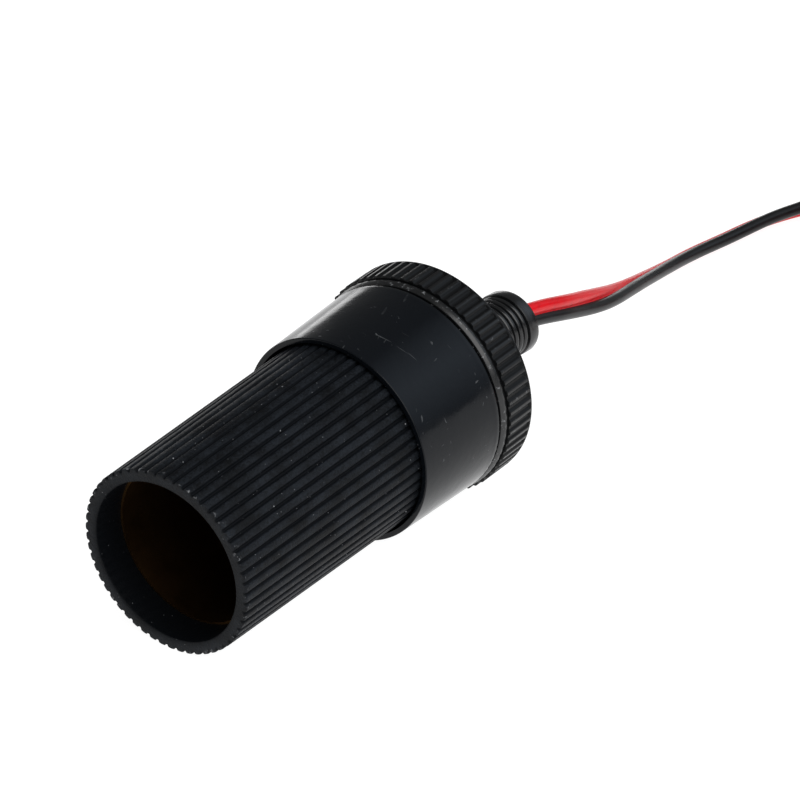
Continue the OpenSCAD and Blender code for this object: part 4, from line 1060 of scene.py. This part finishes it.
class LEAD_OT_stage(bpy.types.Operator):
    """Pale floor, soft lights, a pale room and the camera"""

    bl_idname = "lead.stage"
    bl_label = "Floor, light and camera"

    def execute(self, context):
        studio = context.scene.lead_studio
        material, tree, where = empty_material("acrylic_light_table")
        mottle = add_node(tree, NOISE, inputs={"Vector": where, "Scale": per_mm(40), "Detail": 2})
        cast = add_node(tree, MIX, COLOUR, {0: mottle, 6: (0.2, 0.2, 0.2, 1), 7: (0.24, 0.24, 0.24, 1)}, 2)
        table = finish_material(
            material, tree, Base_Color=cast, Roughness=0.9, IOR=1.2,
            Emission_Color=(1, 1, 1, 1), Emission_Strength=studio.table
        )
        edge = 6.0
        corners = np.array([[-edge, -edge, 0], [edge, -edge, 0], [edge, edge, 0], [-edge, edge, 0]])
        floor = make_piece("floor", corners, np.array([[0, 1, 2, 3]]), [table], weighted=False)
        centre = Vector((0.01, 0, 0.015))
        # Each light: its name, where it stands, its width and height, its power, its colour, how widely it
        # spreads in degrees, and whether gloss mirrors it.
        lamps = [
            ("light_overhead", (-0.1, -0.1, 0.9), 1.0, 1.0, studio.key, "#ffffff", 180, False),
            ("light_back_left", (0.36, 0.41, 0.037), 0.62, 0.074, studio.left, "#ffffff", 180, True),
            ("light_back_right", (0.62, -0.5, 0.52), 1.1, 1.1, studio.right, "#dfeeff", 70, True),
            ("light_front_right", (-0.18, -0.58, 0.6), 0.85, 0.85, studio.front, "#ffffff", 180, True),
        ]
        for name, place, width, height, power, tint, spread, mirrored in lamps:
            light = bpy.data.lights.new(name, "AREA")
            light.shape = "RECTANGLE"
            light.size = width
            light.size_y = height
            light.energy = power
            light.color = hex_colour(tint)[:3]
            light.spread = math.radians(spread)
            lamp = bpy.data.objects.new(name, light)
            lamp.location = place
            lamp.rotation_euler = (Vector(place) - centre).to_track_quat("Z", "Y").to_euler()
            lamp.visible_glossy = mirrored
            lamp.visible_camera = False
            context.scene.collection.objects.link(lamp)
        world = bpy.data.worlds.new("dim_room")
        world.use_nodes = True
        room = world.node_tree
        room.nodes.clear()
        add_node(room, "ShaderNodeOutputWorld", inputs={
            "Surface": add_node(room, "ShaderNodeBackground", inputs={"Color": (1, 1, 1, 1), "Strength": studio.room})
        })
        context.scene.world = world
        camera = bpy.data.cameras.new("camera")
        camera.lens = studio.lens
        camera.sensor_width = 36
        camera.clip_start = 0.01
        camera.clip_end = 50
        viewer = bpy.data.objects.new("camera", camera)
        axes = [Vector(CAMERA_RIGHT), Vector(CAMERA_UP), Vector(CAMERA_BACK)]
        turn = Matrix([axis.normalized() for axis in axes]).transposed()
        viewer.matrix_world = Matrix.Translation(CAMERA_PLACE) @ turn.to_4x4()
        context.scene.collection.objects.link(viewer)
        context.scene.camera = viewer
        context.scene.view_settings.view_transform = "Standard"
        return {"FINISHED"}


# The sidebar panel and the run

OPERATORS = [
    LEAD_OT_finishes, LEAD_OT_barrel, LEAD_OT_collar, LEAD_OT_rear_cap, LEAD_OT_gland, LEAD_OT_tie, LEAD_OT_cord,
    LEAD_OT_spring, LEAD_OT_hardware, LEAD_OT_stage,
]
GROUPS = {
    "lead_socket": LeadSocketSizes,
    "lead_cord": LeadCordSizes,
    "lead_colours": LeadColours,
    "lead_studio": LeadStudio,
}


class LEAD_PT_pieces(bpy.types.Panel):
    """Lists the sizes, colours and pieces of the lead"""

    bl_idname = "LEAD_PT_pieces"
    bl_label = "Extension Lead"
    bl_space_type = "VIEW_3D"
    bl_region_type = "UI"
    bl_category = "Lead"

    def draw(self, context):
        for pointer, group in GROUPS.items():
            box = self.layout.box()
            box.label(text=group.__doc__)
            for name in group.__annotations__:
                box.prop(getattr(context.scene, pointer), name)
        for operator in OPERATORS:
            self.layout.operator(operator.bl_idname)


def register():
    """Registers the groups, the operators and the panel."""
    for pointer, group in GROUPS.items():
        bpy.utils.register_class(group)
        setattr(bpy.types.Scene, pointer, bpy.props.PointerProperty(type=group))
    for operator in OPERATORS:
        bpy.utils.register_class(operator)
    bpy.utils.register_class(LEAD_PT_pieces)


def unregister():
    """Takes the panel, the operators and the groups away again."""
    bpy.utils.unregister_class(LEAD_PT_pieces)
    for operator in reversed(OPERATORS):
        bpy.utils.unregister_class(operator)
    for pointer, group in GROUPS.items():
        delattr(bpy.types.Scene, pointer)
        bpy.utils.unregister_class(group)


def main():
    register()
    bpy.ops.lead.finishes()
    bpy.ops.lead.barrel()
    bpy.ops.lead.collar()
    bpy.ops.lead.rear_cap()
    bpy.ops.lead.gland()
    bpy.ops.lead.tie()
    bpy.ops.lead.cord()
    bpy.ops.lead.spring()
    bpy.ops.lead.hardware()
    bpy.ops.lead.stage()


if __name__ == "__main__":
    main()
